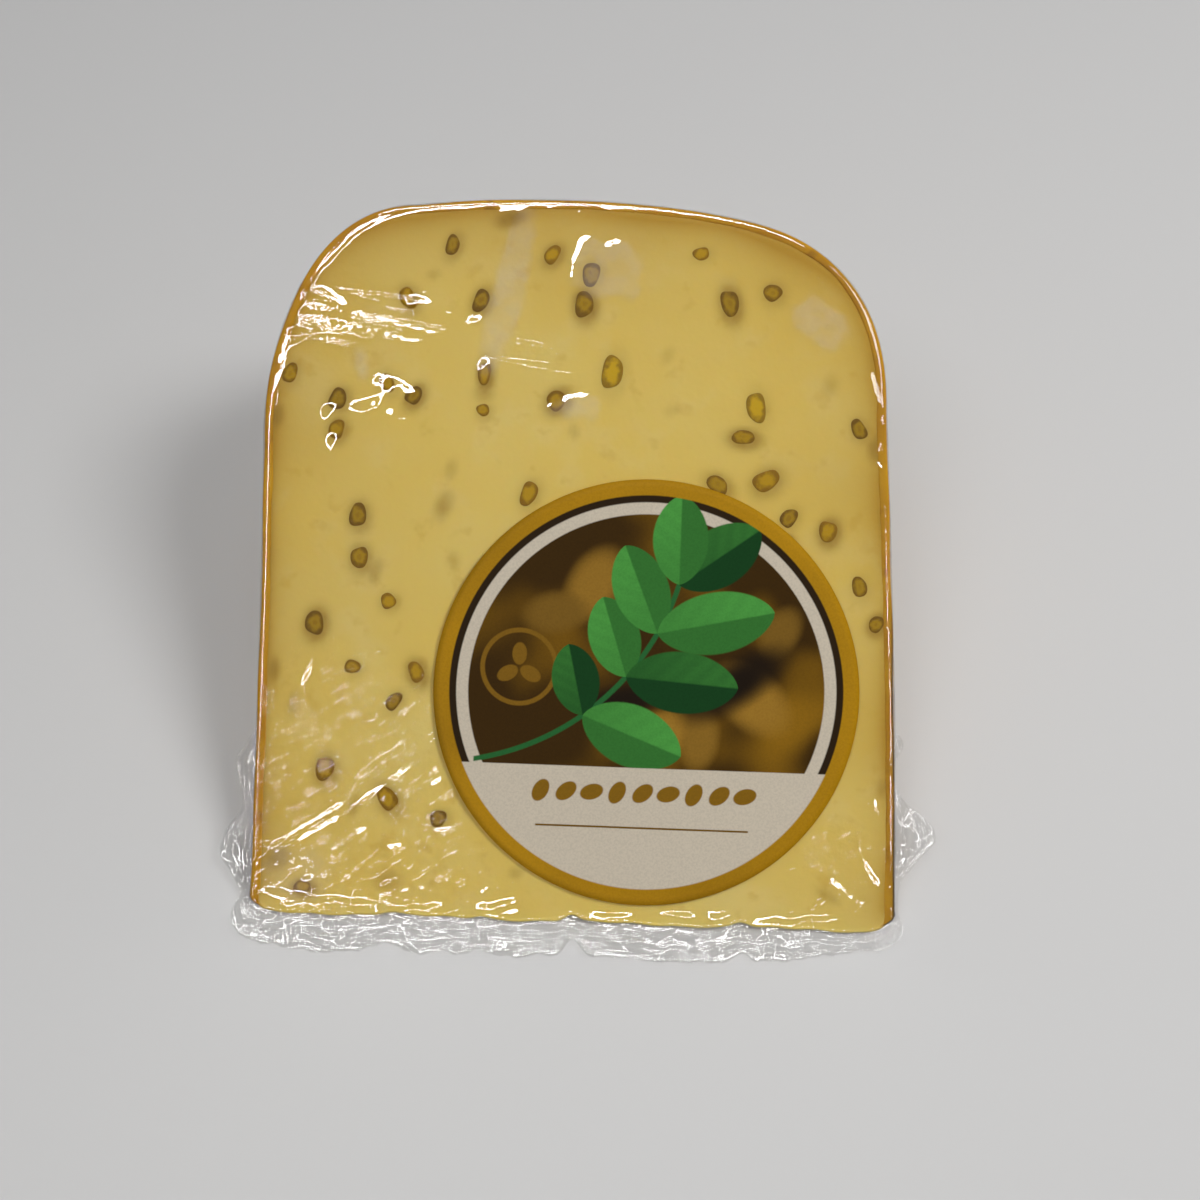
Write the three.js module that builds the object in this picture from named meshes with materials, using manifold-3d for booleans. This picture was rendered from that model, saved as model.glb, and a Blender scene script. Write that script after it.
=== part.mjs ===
// A wedge of semi-hard cheese with fenugreek seeds, sealed in clear film.
// The wedge lies on its lower cut face. X runs across the wheel's thickness, +Y from the thin
// edge out to the rim, +Z up. Millimetres. The origin is on the ground, under the middle of the box.
//
// The wheel's section is drawn as (across, out): across the wheel's thickness, and out from the
// wheel's axis. The thin edge of the wedge is that axis, so the wedge is the section turned
// about the X axis from the lower cut to the upper one.

import * as THREE from "three";
import { mergeVertices } from "three/addons/utils/BufferGeometryUtils.js";
import Module from "manifold-3d";

// Driving dimensions
const WEDGE_ANGLE = THREE.MathUtils.degToRad(29);
const WHEEL_RADIUS = 119;
const HALF_LEFT = 53.6; // half thickness of the wheel at its axis, each side
const HALF_RIGHT = 52.6;
const EDGE_ROUND = 2.2; // worn corner of the section where a flat face meets the thin edge
const COAT_THICKNESS = 1.3;
const GAP = 0.3; // between touching pieces
const FILM_THICKNESS = 0.5;
const LABEL_RADIUS = 35;
const LABEL_THICKNESS = 0.25;
const LABEL_ACROSS = 10.5; // label centre on the upper cut face
const LABEL_OUT = 38.5;
const SKIRT_LEAST = 1.0; // width of the sealed skirt where it lies folded against the rind
const SKIRT_FRONT = 3.6; // what it stands out beyond that along the thin edge,
const SKIRT_LEFT = 3.4; // up the left flat face
const SKIRT_RIGHT = 1.2; // and up the right one
const SKIRT_EAR = 5.2; // the ear near the thin end of the right flat face

// Fineness of the faceted shapes
const TURN_STEPS = 8; // facets round the wedge angle
const SECTION_POINTS = 52; // points along the section's outline
const THIN_EDGE_POINTS = 20; // points of the film along the thin edge
const LABEL_SIDES = 72;
const SEED_SIDES = 8;
const SEED_ROWS = 4;
const MERGE_DISTANCE = 1e-4; // corners nearer than this are one corner

const PASTE_INSET = COAT_THICKNESS + GAP;
const FILM_INNER = GAP;
const FILM_OUTER = GAP + FILM_THICKNESS;
const LABEL_BASE = FILM_OUTER + GAP;

const wasm = await Module();
wasm.setup();

// ---- the wheel's section ----

// The section's outline, from the axis up the left flat face, over the rim and down the right
// one. The left shoulder is tight and the right one is larger, as the wheel settled on one side.
function wheelSection() {
  const outline = new THREE.Path();
  outline.moveTo(-HALF_LEFT + EDGE_ROUND, 0);
  outline.quadraticCurveTo(-HALF_LEFT, 0, -HALF_LEFT, EDGE_ROUND);
  outline.bezierCurveTo(-HALF_LEFT, 30, -53.4, 55, -54.1, 80);
  outline.bezierCurveTo(-54, 96, -47, 117, -30, WHEEL_RADIUS - 1.5);
  outline.bezierCurveTo(-14, WHEEL_RADIUS + 0.6, 8, WHEEL_RADIUS + 0.9, 24, WHEEL_RADIUS - 2.2);
  outline.bezierCurveTo(40, WHEEL_RADIUS - 5.6, 48, 104, 48.4, 86);
  outline.bezierCurveTo(49.8, 66, 52, 34, HALF_RIGHT, EDGE_ROUND);
  outline.quadraticCurveTo(HALF_RIGHT, 0, HALF_RIGHT - EDGE_ROUND, 0);
  return outline;
}

const section = wheelSection();

// The outline at an even spacing along its length, moved inwards by inset. Points that would pass
// the axis stay on it.
function sectionPoints(inset, count) {
  const points = [];
  for (let i = 0; i <= count; i++) {
    const at = section.getPointAt(i / count);
    const along = section.getTangentAt(i / count);
    const moved = new THREE.Vector2(at.x + along.y * inset, at.y - along.x * inset);
    moved.y = i === 0 || i === count ? 0 : Math.max(moved.y, 0);
    points.push(moved);
  }
  return points;
}

// ---- solids ----

// Position-only geometry from a list of points and a list of corner triples, with shared corners
// merged and flat triangles dropped.
function closedGeometry(points, triangles) {
  const raw = new THREE.BufferGeometry();
  raw.setAttribute("position", new THREE.Float32BufferAttribute(points.flatMap((p) => [p.x, p.y, p.z]), 3));
  raw.setIndex(triangles.flat());
  const merged = mergeVertices(raw, MERGE_DISTANCE);
  const index = merged.getIndex().array;
  const kept = [];
  for (let i = 0; i < index.length; i += 3) {
    const [a, b, c] = [index[i], index[i + 1], index[i + 2]];
    if (a !== b && b !== c && c !== a) kept.push(a, b, c);
  }
  merged.setIndex(kept);
  return merged;
}

function toSolid(geometry) {
  const mesh = new wasm.Mesh({
    numProp: 3,
    vertProperties: new Float32Array(geometry.getAttribute("position").array),
    triVerts: new Uint32Array(geometry.getIndex().array),
  });
  return new wasm.Manifold(mesh);
}

function toGeometry(solid) {
  const mesh = solid.getMesh();
  const geometry = new THREE.BufferGeometry();
  geometry.setAttribute("position", new THREE.BufferAttribute(mesh.vertProperties, 3));
  geometry.setIndex(new THREE.BufferAttribute(mesh.triVerts, 1));
  return geometry;
}

// A closed outline of (across, out) points turned about the X axis through the wedge angle, with
// a flat cap at each cut. Sides that lie on the axis vanish.
function turnedSolid(outline) {
  const points = [];
  const count = outline.length;
  for (let k = 0; k <= TURN_STEPS; k++) {
    const turn = (WEDGE_ANGLE * k) / TURN_STEPS;
    for (const p of outline) {
      points.push(new THREE.Vector3(p.x, p.y * Math.cos(turn), p.y * Math.sin(turn)));
    }
  }
  const triangles = [];
  for (let k = 0; k < TURN_STEPS; k++) {
    for (let i = 0; i < count; i++) {
      const j = (i + 1) % count;
      if (outline[i].y === 0 && outline[j].y === 0) continue;
      const [a, b] = [k * count + i, k * count + j];
      triangles.push([a, a + count, b], [b, a + count, b + count]);
    }
  }
  const top = TURN_STEPS * count;
  for (const [a, b, c] of THREE.ShapeUtils.triangulateShape(outline, [])) {
    triangles.push([a, c, b], [top + a, top + b, top + c]);
  }
  return closedGeometry(points, triangles);
}

function pasteBlank() {
  return turnedSolid(sectionPoints(PASTE_INSET, SECTION_POINTS));
}

function coatShell() {
  const outer = sectionPoints(0, SECTION_POINTS);
  const inner = sectionPoints(COAT_THICKNESS, SECTION_POINTS).reverse();
  return turnedSolid([...outer, ...inner]);
}

// ---- seeds ----

const SEED_BLUNTNESS = 0.78; // below 1, it squares a ball's sides off

// A fenugreek seed is a small blunt block with rounded corners, longer than it is wide.
function seedSolid(seed, grow) {
  const ball = new THREE.SphereGeometry(1, SEED_SIDES, SEED_ROWS);
  ball.deleteAttribute("normal");
  ball.deleteAttribute("uv");
  const blunt = mergeVertices(ball, MERGE_DISTANCE);
  const at = blunt.getAttribute("position");
  const square = (v) => Math.sign(v) * Math.abs(v) ** SEED_BLUNTNESS;
  for (let i = 0; i < at.count; i++) {
    at.setXYZ(i, square(at.getX(i)), square(at.getY(i)), square(at.getZ(i)));
  }
  blunt.scale(seed.length / 2 + grow, seed.width / 2 + grow, seed.width / 2 + grow);
  blunt.rotateZ(THREE.MathUtils.degToRad(seed.turn));
  const sink = seed.width * seed.sunk;
  if (seed.face === "upper") {
    blunt.translate(seed.across, seed.out, -sink);
    blunt.rotateX(WEDGE_ANGLE);
  } else {
    blunt.translate(seed.across, seed.out, sink);
  }
  return toSolid(blunt);
}

// Seeds that the upper cut bares: across, out, length, width, turn from the X axis in degrees,
// and how far the middle lies below the cut as a share of the width.
const UPPER_SEEDS = [
  [-24, 111, 3.4, 2.2, 70, 0.2], [-7.5, 110, 3.2, 2.3, 60, 0.3], [-1, 107, 3.8, 3, 80, 0.15],
  [-2, 102, 4.2, 3, 95, 0.15], [17, 111, 2.8, 2, 20, 0.35], [22, 103, 4.6, 2.8, 100, 0.2],
  [29, 105, 2.8, 2.6, 0, 0.25], [-31, 102, 3.6, 2.6, 120, 0.2], [-19, 102, 3.8, 2.6, 60, 0.2],
  [-50, 89, 3.4, 2.4, 85, 0.3], [-18, 90, 3.8, 2, 90, 0.35], [3, 91, 5.8, 3.2, 82, 0.15],
  [-6, 86, 3.6, 2.8, 30, 0.2], [-18, 84, 2.2, 2, 0, 0.3], [-42, 85, 3.6, 2.8, 50, 0.2],
  [-42, 80, 3.2, 2.6, 70, 0.2], [-34, 88, 3.6, 2.4, 130, 0.2], [-29.5, 86, 3.4, 2.4, 45, 0.2],
  [27, 86, 5.2, 3, 97, 0.15], [25, 81, 4, 2.4, 0, 0.3], [44, 83, 3.4, 2.4, 110, 0.25],
  [29, 74, 4.4, 3.4, 20, 0.15], [21, 73, 4, 2.8, 150, 0.2], [33, 68, 3.4, 2.4, 60, 0.35],
  [39.5, 66, 3.6, 2.8, 75, 0.2], [45, 57, 3.6, 2.6, 95, 0.2], [48, 51, 3, 2.2, 80, 0.3],
  [-10, 70.5, 4, 2.8, 60, 0.2], [-38, 66, 3.8, 2.8, 85, 0.2], [-37.5, 59, 3.6, 2.8, 95, 0.15],
  [-32.5, 52, 2.6, 2.2, 0, 0.25], [-44.5, 48, 4, 3, 75, 0.2], [-38, 41, 2.8, 2.4, 0, 0.25],
  [-27.5, 40.5, 3.6, 2.6, 100, 0.2], [-31, 35.5, 3.2, 2.2, 60, 0.35], [-42, 24, 4, 3, 85, 0.15],
  [-31.5, 19.5, 4.4, 2.8, 130, 0.15], [-23, 16.5, 2.8, 2.4, 30, 0.25], [-45, 4.5, 3, 2.2, 10, 0.3],
];

// The lower cut bares fewer seeds, spread by a golden-angle spiral about the middle of the cut.
const LOWER_SEED_COUNT = 15;
const GOLDEN_ANGLE = Math.PI * (3 - Math.sqrt(5));
const LOWER_MIDDLE = { across: -1, out: 61 };
const LOWER_REACH = { across: 45, out: 48 };
const LOWER_SEED = { length: 3.4, lengthSpread: 0.8, width: 2.5, widthSpread: 0.3, turnStep: 47, sunk: 0.2 };

function lowerSeeds() {
  const seeds = [];
  for (let i = 0; i < LOWER_SEED_COUNT; i++) {
    const spread = Math.sqrt((i + 0.5) / LOWER_SEED_COUNT);
    const angle = i * GOLDEN_ANGLE;
    seeds.push({
      face: "lower",
      across: LOWER_MIDDLE.across + LOWER_REACH.across * spread * Math.cos(angle),
      out: LOWER_MIDDLE.out + LOWER_REACH.out * spread * Math.sin(angle),
      length: LOWER_SEED.length + LOWER_SEED.lengthSpread * Math.sin(2.3 * i),
      width: LOWER_SEED.width + LOWER_SEED.widthSpread * Math.cos(3.1 * i),
      turn: LOWER_SEED.turnStep * i,
      sunk: LOWER_SEED.sunk,
    });
  }
  return seeds;
}

function allSeeds() {
  const upper = UPPER_SEEDS.map(([across, out, length, width, turn, sunk]) => (
    { face: "upper", across, out, length, width, turn, sunk }
  ));
  return [...upper, ...lowerSeeds()];
}

// ---- film ----

// A bell-shaped swell of the given height and reach about a place.
const swell = (value, place, reach, height) => height * Math.exp(-(((value - place) / reach) ** 2));

// Width of the sealed skirt at a place on the section. It is narrow round the thick half, and
// stands out round the thin half, with an ear and a lesser bulge at the right.
function skirtWidth(across, out) {
  const fade = 1 - THREE.MathUtils.smoothstep(out, 8, 52);
  const thickHalf = out > 60;
  const thinEdge = out < 1;
  if (thickHalf) return SKIRT_LEAST;
  if (thinEdge) {
    return SKIRT_LEAST + SKIRT_FRONT + swell(across, -20, 25, 0.6) - swell(across, HALF_RIGHT, 9, 2.4);
  }
  if (across < 0) return SKIRT_LEAST + SKIRT_LEFT * fade;
  return SKIRT_LEAST + SKIRT_RIGHT * fade + swell(out, 16, 7, SKIRT_EAR) + swell(out, 33, 5, 0.9);
}

// The places round the film: the section's outline, then back along the thin edge.
function filmRing() {
  const ring = [];
  for (let i = 0; i <= SECTION_POINTS; i++) {
    const at = section.getPointAt(i / SECTION_POINTS);
    const along = section.getTangentAt(i / SECTION_POINTS);
    ring.push({ across: at.x, out: Math.max(at.y, 0), facing: new THREE.Vector2(-along.y, along.x) });
  }
  const [from, to] = [HALF_RIGHT - EDGE_ROUND, -HALF_LEFT + EDGE_ROUND];
  for (let i = 1; i < THIN_EDGE_POINTS; i++) {
    const across = THREE.MathUtils.lerp(from, to, i / THIN_EDGE_POINTS);
    ring.push({ across, out: 0, facing: new THREE.Vector2(0, -1) });
  }
  return ring;
}

// A point beside the cheese: off the section by away, turned up by turn, and off the cut by lift.
function besideCheese(place, away, turn, lift) {
  const across = place.across + place.facing.x * away;
  const out = place.out + place.facing.y * away;
  return new THREE.Vector3(
    across,
    out * Math.cos(turn) - lift * Math.sin(turn),
    out * Math.sin(turn) + lift * Math.cos(turn),
  );
}

// A point of the skirt: it leaves the seam half way up the rim and the flat faces, and lies just
// above the ground along the thin edge.
function skirtPoint(place, away, lift) {
  const half = WEDGE_ANGLE / 2;
  const seamOut = place.out * Math.cos(half) + Math.max(place.facing.y, 0) * away * Math.cos(half);
  const seamUp = place.out * Math.sin(half) + Math.max(place.facing.y, 0) * away * Math.sin(half);
  const forward = Math.min(place.facing.y, 0) * away;
  return new THREE.Vector3(place.across + place.facing.x * away, seamOut + forward, seamUp + lift);
}

// The points of a web's wall between its corner at the cut and its corner at the seam. They
// keep to the rim's curve: a straight blend of the two corners, plus what the arc stands out
// beyond its chord there.
function wallPoints(place, away, cut, corner, seam) {
  const half = WEDGE_ANGLE / 2;
  const arm = place.out + Math.max(place.facing.y, 0) * away;
  const armAt = (turn) => new THREE.Vector3(0, arm * Math.cos(turn), arm * Math.sin(turn));
  const steps = TURN_STEPS / 2;
  const points = [];
  for (let k = 1; k < steps; k++) {
    const share = k / steps;
    const chord = armAt(cut).lerp(armAt(half), share);
    const bulge = armAt(THREE.MathUtils.lerp(cut, half, share)).sub(chord);
    points.push(corner.clone().lerp(seam, share).add(bulge));
  }
  return points;
}

// One film web. Round the ring, its wall follows a closed profile: from the middle of the cut
// along the inner side, over the edge, down to the seam and out along the skirt, then back on
// the outer side. The side is +1 for the upper web and -1 for the lower one.
function filmWeb(side) {
  const ring = filmRing();
  const cut = side > 0 ? WEDGE_ANGLE : 0;
  const middle = { across: 0, out: WHEEL_RADIUS / 2, facing: new THREE.Vector2(0, 0) };
  const seamLift = side * (GAP / 2);
  const skirtLift = side * (GAP / 2 + FILM_THICKNESS);
  const profile = (place) => {
    const tip = FILM_OUTER + skirtWidth(place.across, place.out);
    const innerCorner = besideCheese(place, FILM_INNER, cut, side * FILM_INNER);
    const outerCorner = besideCheese(place, FILM_OUTER, cut, side * FILM_OUTER);
    const innerSeam = skirtPoint(place, FILM_INNER, seamLift);
    const outerSeam = skirtPoint(place, FILM_OUTER, skirtLift);
    return [
      innerCorner,
      ...wallPoints(place, FILM_INNER, cut, innerCorner, innerSeam),
      innerSeam,
      skirtPoint(place, tip, seamLift),
      skirtPoint(place, tip, skirtLift),
      outerSeam,
      ...wallPoints(place, FILM_OUTER, cut, outerCorner, outerSeam).reverse(),
      outerCorner,
    ];
  };
  const rows = ring.map(profile);
  const wide = rows[0].length;
  const points = rows.flat();
  const innerMiddle = points.push(besideCheese(middle, 0, cut, side * FILM_INNER)) - 1;
  const outerMiddle = points.push(besideCheese(middle, 0, cut, side * FILM_OUTER)) - 1;
  const triangles = [];
  for (let i = 0; i < rows.length; i++) {
    const [a, b] = [i * wide, ((i + 1) % rows.length) * wide];
    triangles.push([innerMiddle, a, b]);
    for (let k = 0; k + 1 < wide; k++) {
      triangles.push([a + k, a + k + 1, b + k], [b + k, a + k + 1, b + k + 1]);
    }
    triangles.push([outerMiddle, b + wide - 1, a + wide - 1]);
  }
  const outward = side > 0 ? triangles : triangles.map(([a, b, c]) => [a, c, b]);
  return closedGeometry(points, outward);
}

// ---- label ----

function labelDisc() {
  const disc = new THREE.CylinderGeometry(LABEL_RADIUS, LABEL_RADIUS, LABEL_THICKNESS, LABEL_SIDES);
  disc.rotateX(Math.PI / 2);
  disc.translate(LABEL_ACROSS, LABEL_OUT, LABEL_BASE + LABEL_THICKNESS / 2);
  disc.rotateX(WEDGE_ANGLE);
  disc.deleteAttribute("normal");
  disc.deleteAttribute("uv");
  return mergeVertices(disc, MERGE_DISTANCE);
}

// ---- the assembly ----

const finishes = {
  paste: new THREE.MeshStandardMaterial({ color: 0xc0ab57, roughness: 0.45, metalness: 0 }),
  coat: new THREE.MeshStandardMaterial({ color: 0xbc7c16, roughness: 0.4, metalness: 0 }),
  seed: new THREE.MeshStandardMaterial({ color: 0x8f7a34, roughness: 0.5, metalness: 0 }),
  film: new THREE.MeshStandardMaterial({ color: 0xe8e8e4, roughness: 0.1, metalness: 0 }),
  label: new THREE.MeshStandardMaterial({ color: 0xb5a58c, roughness: 0.6, metalness: 0 }),
};

function named(name, geometry, material) {
  const mesh = new THREE.Mesh(geometry, material);
  mesh.name = name;
  return mesh;
}

const wedge = new THREE.Group();
const blank = toSolid(pasteBlank());
let paste = blank;
// Each seed is cut off flush with the paste, and lies in a pocket of its own.
allSeeds().forEach((seed, i) => {
  const number = String(i + 1).padStart(2, "0");
  const bared = seedSolid(seed, 0).intersect(blank);
  wedge.add(named(`fenugreek_seed_${number}`, toGeometry(bared), finishes.seed));
  paste = paste.subtract(seedSolid(seed, GAP));
});
wedge.add(named("cheese_paste", toGeometry(paste), finishes.paste));
wedge.add(named("rind_coat", coatShell(), finishes.coat));
wedge.add(named("film_upper", filmWeb(1), finishes.film));
wedge.add(named("film_lower", filmWeb(-1), finishes.film));
wedge.add(named("label", labelDisc(), finishes.label));

// The lower film's underside is the ground, and the middle of the box is over the origin.
const box = new THREE.Box3().setFromObject(wedge);
const group = new THREE.Group();
wedge.position.set(-(box.min.x + box.max.x) / 2, -(box.min.y + box.max.y) / 2, -box.min.z);
group.add(wedge);

export default group;
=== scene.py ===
"""A wedge of semi-hard cheese with fenugreek seeds, sealed in clear film with a round paper label.

Shapes are worked out in millimetres on the wheel's own section: "across" the wheel's thickness,
"out" from its axis to its rim, and "lift" off the nearer knife cut. The wedge is that section
turned about the axis from the lower cut, on the ground, to the upper one.
"""

import math

import bmesh
import bpy
import numpy as np
from mathutils import Matrix, Vector


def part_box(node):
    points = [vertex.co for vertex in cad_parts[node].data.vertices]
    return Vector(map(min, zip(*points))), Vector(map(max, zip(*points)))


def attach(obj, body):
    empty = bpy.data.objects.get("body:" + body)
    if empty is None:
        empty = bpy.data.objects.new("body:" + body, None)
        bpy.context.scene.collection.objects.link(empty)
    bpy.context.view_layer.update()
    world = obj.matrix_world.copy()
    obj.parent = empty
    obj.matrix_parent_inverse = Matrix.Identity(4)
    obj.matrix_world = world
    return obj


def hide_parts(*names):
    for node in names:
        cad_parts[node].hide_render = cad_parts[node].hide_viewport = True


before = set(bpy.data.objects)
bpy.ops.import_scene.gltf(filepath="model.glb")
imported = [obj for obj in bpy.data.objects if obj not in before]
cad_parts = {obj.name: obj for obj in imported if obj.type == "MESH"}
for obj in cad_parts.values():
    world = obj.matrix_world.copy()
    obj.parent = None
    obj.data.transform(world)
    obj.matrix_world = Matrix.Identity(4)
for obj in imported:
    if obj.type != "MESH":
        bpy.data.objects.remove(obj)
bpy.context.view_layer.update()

bl_info = {
    "name": "Wrapped cheese wedge",
    "version": (1, 0, 0),
    "blender": (4, 5, 0),
    "location": "View3D > Sidebar > Cheese",
    "description": "Builds a film-wrapped wedge of cheese round its frame, piece by piece",
    "category": "Add Mesh",
}

MM = 0.001
BODY = "root"


# ---- measures read from the frame ----

COAT_LOW, COAT_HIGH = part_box("rind_coat")
LABEL_LOW, LABEL_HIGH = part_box("label")
RIM_RADIUS = (COAT_HIGH.y - COAT_LOW.y) / MM
WEDGE_ANGLE = math.asin((COAT_HIGH.z - COAT_LOW.z) / MM / RIM_RADIUS)
GROUND = -COAT_LOW.z / MM  # height of the ground below the lower cut
SEED_NODES = sorted(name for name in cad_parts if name.startswith("fenugreek_seed_"))


# ---- the wheel's section ----

HALF_LEFT = 53.6
HALF_RIGHT = 52.6
EDGE_ROUND = 2.2
THIN_START = 0.4  # the wedge's thin edge is blunt: the cuts stop this far from the axis
THIN_REACH = 3.0  # the shift fades over this distance from the thin edge
THIN_NOTCHES = [  # place across, reach and depth of each notch and worn corner
    (-0.6, 1.5, 1.1), (27.4, 1.7, 0.9), (-30.5, 2.0, 0.4), (-15.5, 1.8, 0.5),
    (HALF_RIGHT + 0.5, 3.2, 1.8), (-HALF_LEFT - 0.3, 2.2, 0.9),
]

# The section's outline as cubic curves, from the thin edge up the left flat face, over the rim
# and down the right flat face: (across, out) of each curve's four points.
SECTION_CURVES = [
    [(-HALF_LEFT + EDGE_ROUND, 0), (-HALF_LEFT + 0.73, 0), (-HALF_LEFT, 0.73), (-HALF_LEFT, EDGE_ROUND)],
    [(-HALF_LEFT, EDGE_ROUND), (-HALF_LEFT, 30), (-53.4, 55), (-54.1, 80)],
    [(-54.1, 80), (-54, 96), (-47, 117), (-30, RIM_RADIUS - 1.6)],
    [(-30, RIM_RADIUS - 1.6), (-14, RIM_RADIUS + 0.5), (8, RIM_RADIUS + 0.8), (24, RIM_RADIUS - 2.3)],
    [(24, RIM_RADIUS - 2.3), (40, RIM_RADIUS - 5.7), (48, 104), (48.4, 86)],
    [(48.4, 86), (49.8, 66), (52, 34), (HALF_RIGHT, EDGE_ROUND)],
    [(HALF_RIGHT, EDGE_ROUND), (HALF_RIGHT, 0.73), (HALF_RIGHT - 0.73, 0), (HALF_RIGHT - EDGE_ROUND, 0)],
]


def cubic(points, t):
    """Points of a cubic curve: its four points weighed by the Bernstein polynomials of t."""
    weights = np.stack([(1 - t) ** 3, 3 * t * (1 - t) ** 2, 3 * t**2 * (1 - t), t**3], axis=1)
    return weights @ np.array(points, float)


def section_table():
    """The whole outline, finely sampled: its length so far, and its (across, out) points."""
    t = np.linspace(0, 1, 200, endpoint=False)
    points = np.concatenate([cubic(curve, t) for curve in SECTION_CURVES])
    points = np.vstack([points, SECTION_CURVES[-1][-1]])
    steps = np.hypot(*np.diff(points, axis=0).T)
    return np.concatenate([[0], np.cumsum(steps)]), points


SECTION_RUN, SECTION_POINTS = section_table()
ACROSS_ZERO = COAT_LOW.x / MM - SECTION_POINTS[:, 0].min()  # the section's zero in the frame
OUT_ZERO = COAT_LOW.y / MM


def section_at(share):
    """(across, out) and the outward direction at a share of the outline's length."""
    run = share * SECTION_RUN[-1]
    near = SECTION_RUN[-1] * 0.001

    def place_at(length):
        return np.stack([np.interp(length, SECTION_RUN, SECTION_POINTS[:, k]) for k in (0, 1)], axis=1)

    along = place_at(run + near) - place_at(run - near)
    along /= np.hypot(along[:, 0], along[:, 1])[:, None]
    return place_at(run), np.stack([-along[:, 1], along[:, 0]], axis=1)


def shoulder_shares():
    """The shares of the outline where it faces 45 degrees up and left, and up and right."""
    share = np.linspace(0.1, 0.9, 2000)
    _, facing = section_at(share)
    left = share[np.argmax(facing @ np.array([-1, 1]))]
    right = share[np.argmax(facing @ np.array([1, 1]))]
    return left, right


def thin_edge(across):
    """How far out the thin edge begins: a slow wave, and a bell for each notch and corner."""
    notches = sum(depth * bell(across, place, reach) for place, reach, depth in THIN_NOTCHES)
    return THIN_START + 0.2 * (1 + np.sin(across * 0.21 + 0.8)) + 0.1 * np.sin(across * 0.83) + notches


class Ring:
    """The closed round of the section: left flat face, rim, right flat face, thin edge.

    It has wide steps along the rim and along the thin edge, and tall steps up each flat face.
    """

    def __init__(self, wide, tall):
        self.wide, self.tall = wide, tall
        left, right = shoulder_shares()
        shares = np.concatenate([
            np.linspace(0, left, tall, endpoint=False),
            np.linspace(left, right, wide, endpoint=False),
            np.linspace(right, 1, tall, endpoint=False),
        ])
        place, facing = section_at(shares)
        ends = SECTION_POINTS[-1, 0], SECTION_POINTS[0, 0]
        edge_across = np.linspace(ends[0], ends[1], wide, endpoint=False)
        edge = np.stack([edge_across, np.zeros(wide)], axis=1)
        edge_facing = np.tile([0.0, -1.0], (wide, 1))
        self.place = np.vstack([place, edge])
        self.facing = np.vstack([facing, edge_facing])
        self.place[:, 1] += thin_edge(self.place[:, 0]) * np.exp(-self.place[:, 1] / THIN_REACH)
        self.thin = np.clip(-self.facing[:, 1], 0, 1)
        self.count = len(self.place)
        steps = np.hypot(*(np.roll(self.place, -1, axis=0) - self.place).T)
        self.run = np.concatenate([[0], np.cumsum(steps)[:-1]])

    def moved(self, away, keep_thin=False):
        """The round moved outwards by away; with keep_thin the thin edge keeps its place."""
        shift = self.facing * np.broadcast_to(away, self.count)[:, None]
        if keep_thin:
            shift[:, 1] = np.where(self.facing[:, 1] < 0, 0, shift[:, 1])
        return self.place + shift

    def patch(self, loop):
        """A grid inside the loop, blended from its four sides (a Coons patch): the two blends
        between opposite sides, less the blend between the four corners."""
        wide, tall = self.wide, self.tall
        left = loop[: tall + 1]
        rim = loop[tall: tall + wide + 1]
        right = loop[tall + wide: 2 * tall + wide + 1][::-1]
        thin = np.vstack([loop[2 * tall + wide:], loop[:1]])[::-1]
        x = np.linspace(0, 1, wide + 1)[None, :, None]
        y = np.linspace(0, 1, tall + 1)[:, None, None]
        sides = (1 - y) * thin[None] + y * rim[None] + (1 - x) * left[:, None] + x * right[:, None]
        corners = (
            (1 - x) * (1 - y) * thin[0] + x * (1 - y) * thin[-1] + (1 - x) * y * rim[0] + x * y * rim[-1]
        )
        return sides - corners

    def grid(self):
        """Indices of the patch's points, row by row."""
        wide, tall = self.wide + 1, self.tall + 1
        return np.arange(wide * tall).reshape(tall, wide)

    def ripples(self, length, seed):
        """Irregular waves of about this length along the round."""
        return waves(self.run, 0 * self.run, length, seed)

    def border(self):
        """Indices of the patch's own points that lie on the round, in the round's order."""
        grid = self.grid()
        return np.concatenate([grid[:-1, 0], grid[-1, :-1], grid[:0:-1, -1], grid[0, :0:-1]])


# ---- places in space ----

def on_cut(across, out, lift, upper=True):
    """A place on a knife cut, lifted off it, as (x, y, z) in millimetres with the thin edge's
    axis as the origin. The upper cut is turned up by the wedge angle; the lower one is flat."""
    turn = WEDGE_ANGLE if upper else 0.0
    rise = lift if upper else -lift
    return np.stack([
        across,
        out * math.cos(turn) - rise * math.sin(turn),
        out * math.sin(turn) + rise * math.cos(turn),
    ], axis=-1)


def to_frame(points):
    """Millimetres from the thin edge's axis, as metres in the frame."""
    return (points + np.array([ACROSS_ZERO, OUT_ZERO, -GROUND])) * MM


def off_cut(points):
    """The way back from the frame: across, out and lift from the upper cut, in millimetres."""
    x, y, z = (points / MM - np.array([ACROSS_ZERO, OUT_ZERO, -GROUND])).T
    cos, sin = math.cos(WEDGE_ANGLE), math.sin(WEDGE_ANGLE)
    return x, y * cos + z * sin, z * cos - y * sin


def label_place():
    """The label's middle on the upper cut, across and out, and its radius."""
    middle = (np.array(LABEL_LOW) + np.array(LABEL_HIGH)) / 2
    _, out, _ = off_cut(middle[None])
    return middle[0] / MM - ACROSS_ZERO, out[0], (LABEL_HIGH.x - LABEL_LOW.x) / 2 / MM


LABEL_ACROSS, LABEL_OUT, LABEL_RADIUS = label_place()


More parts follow.
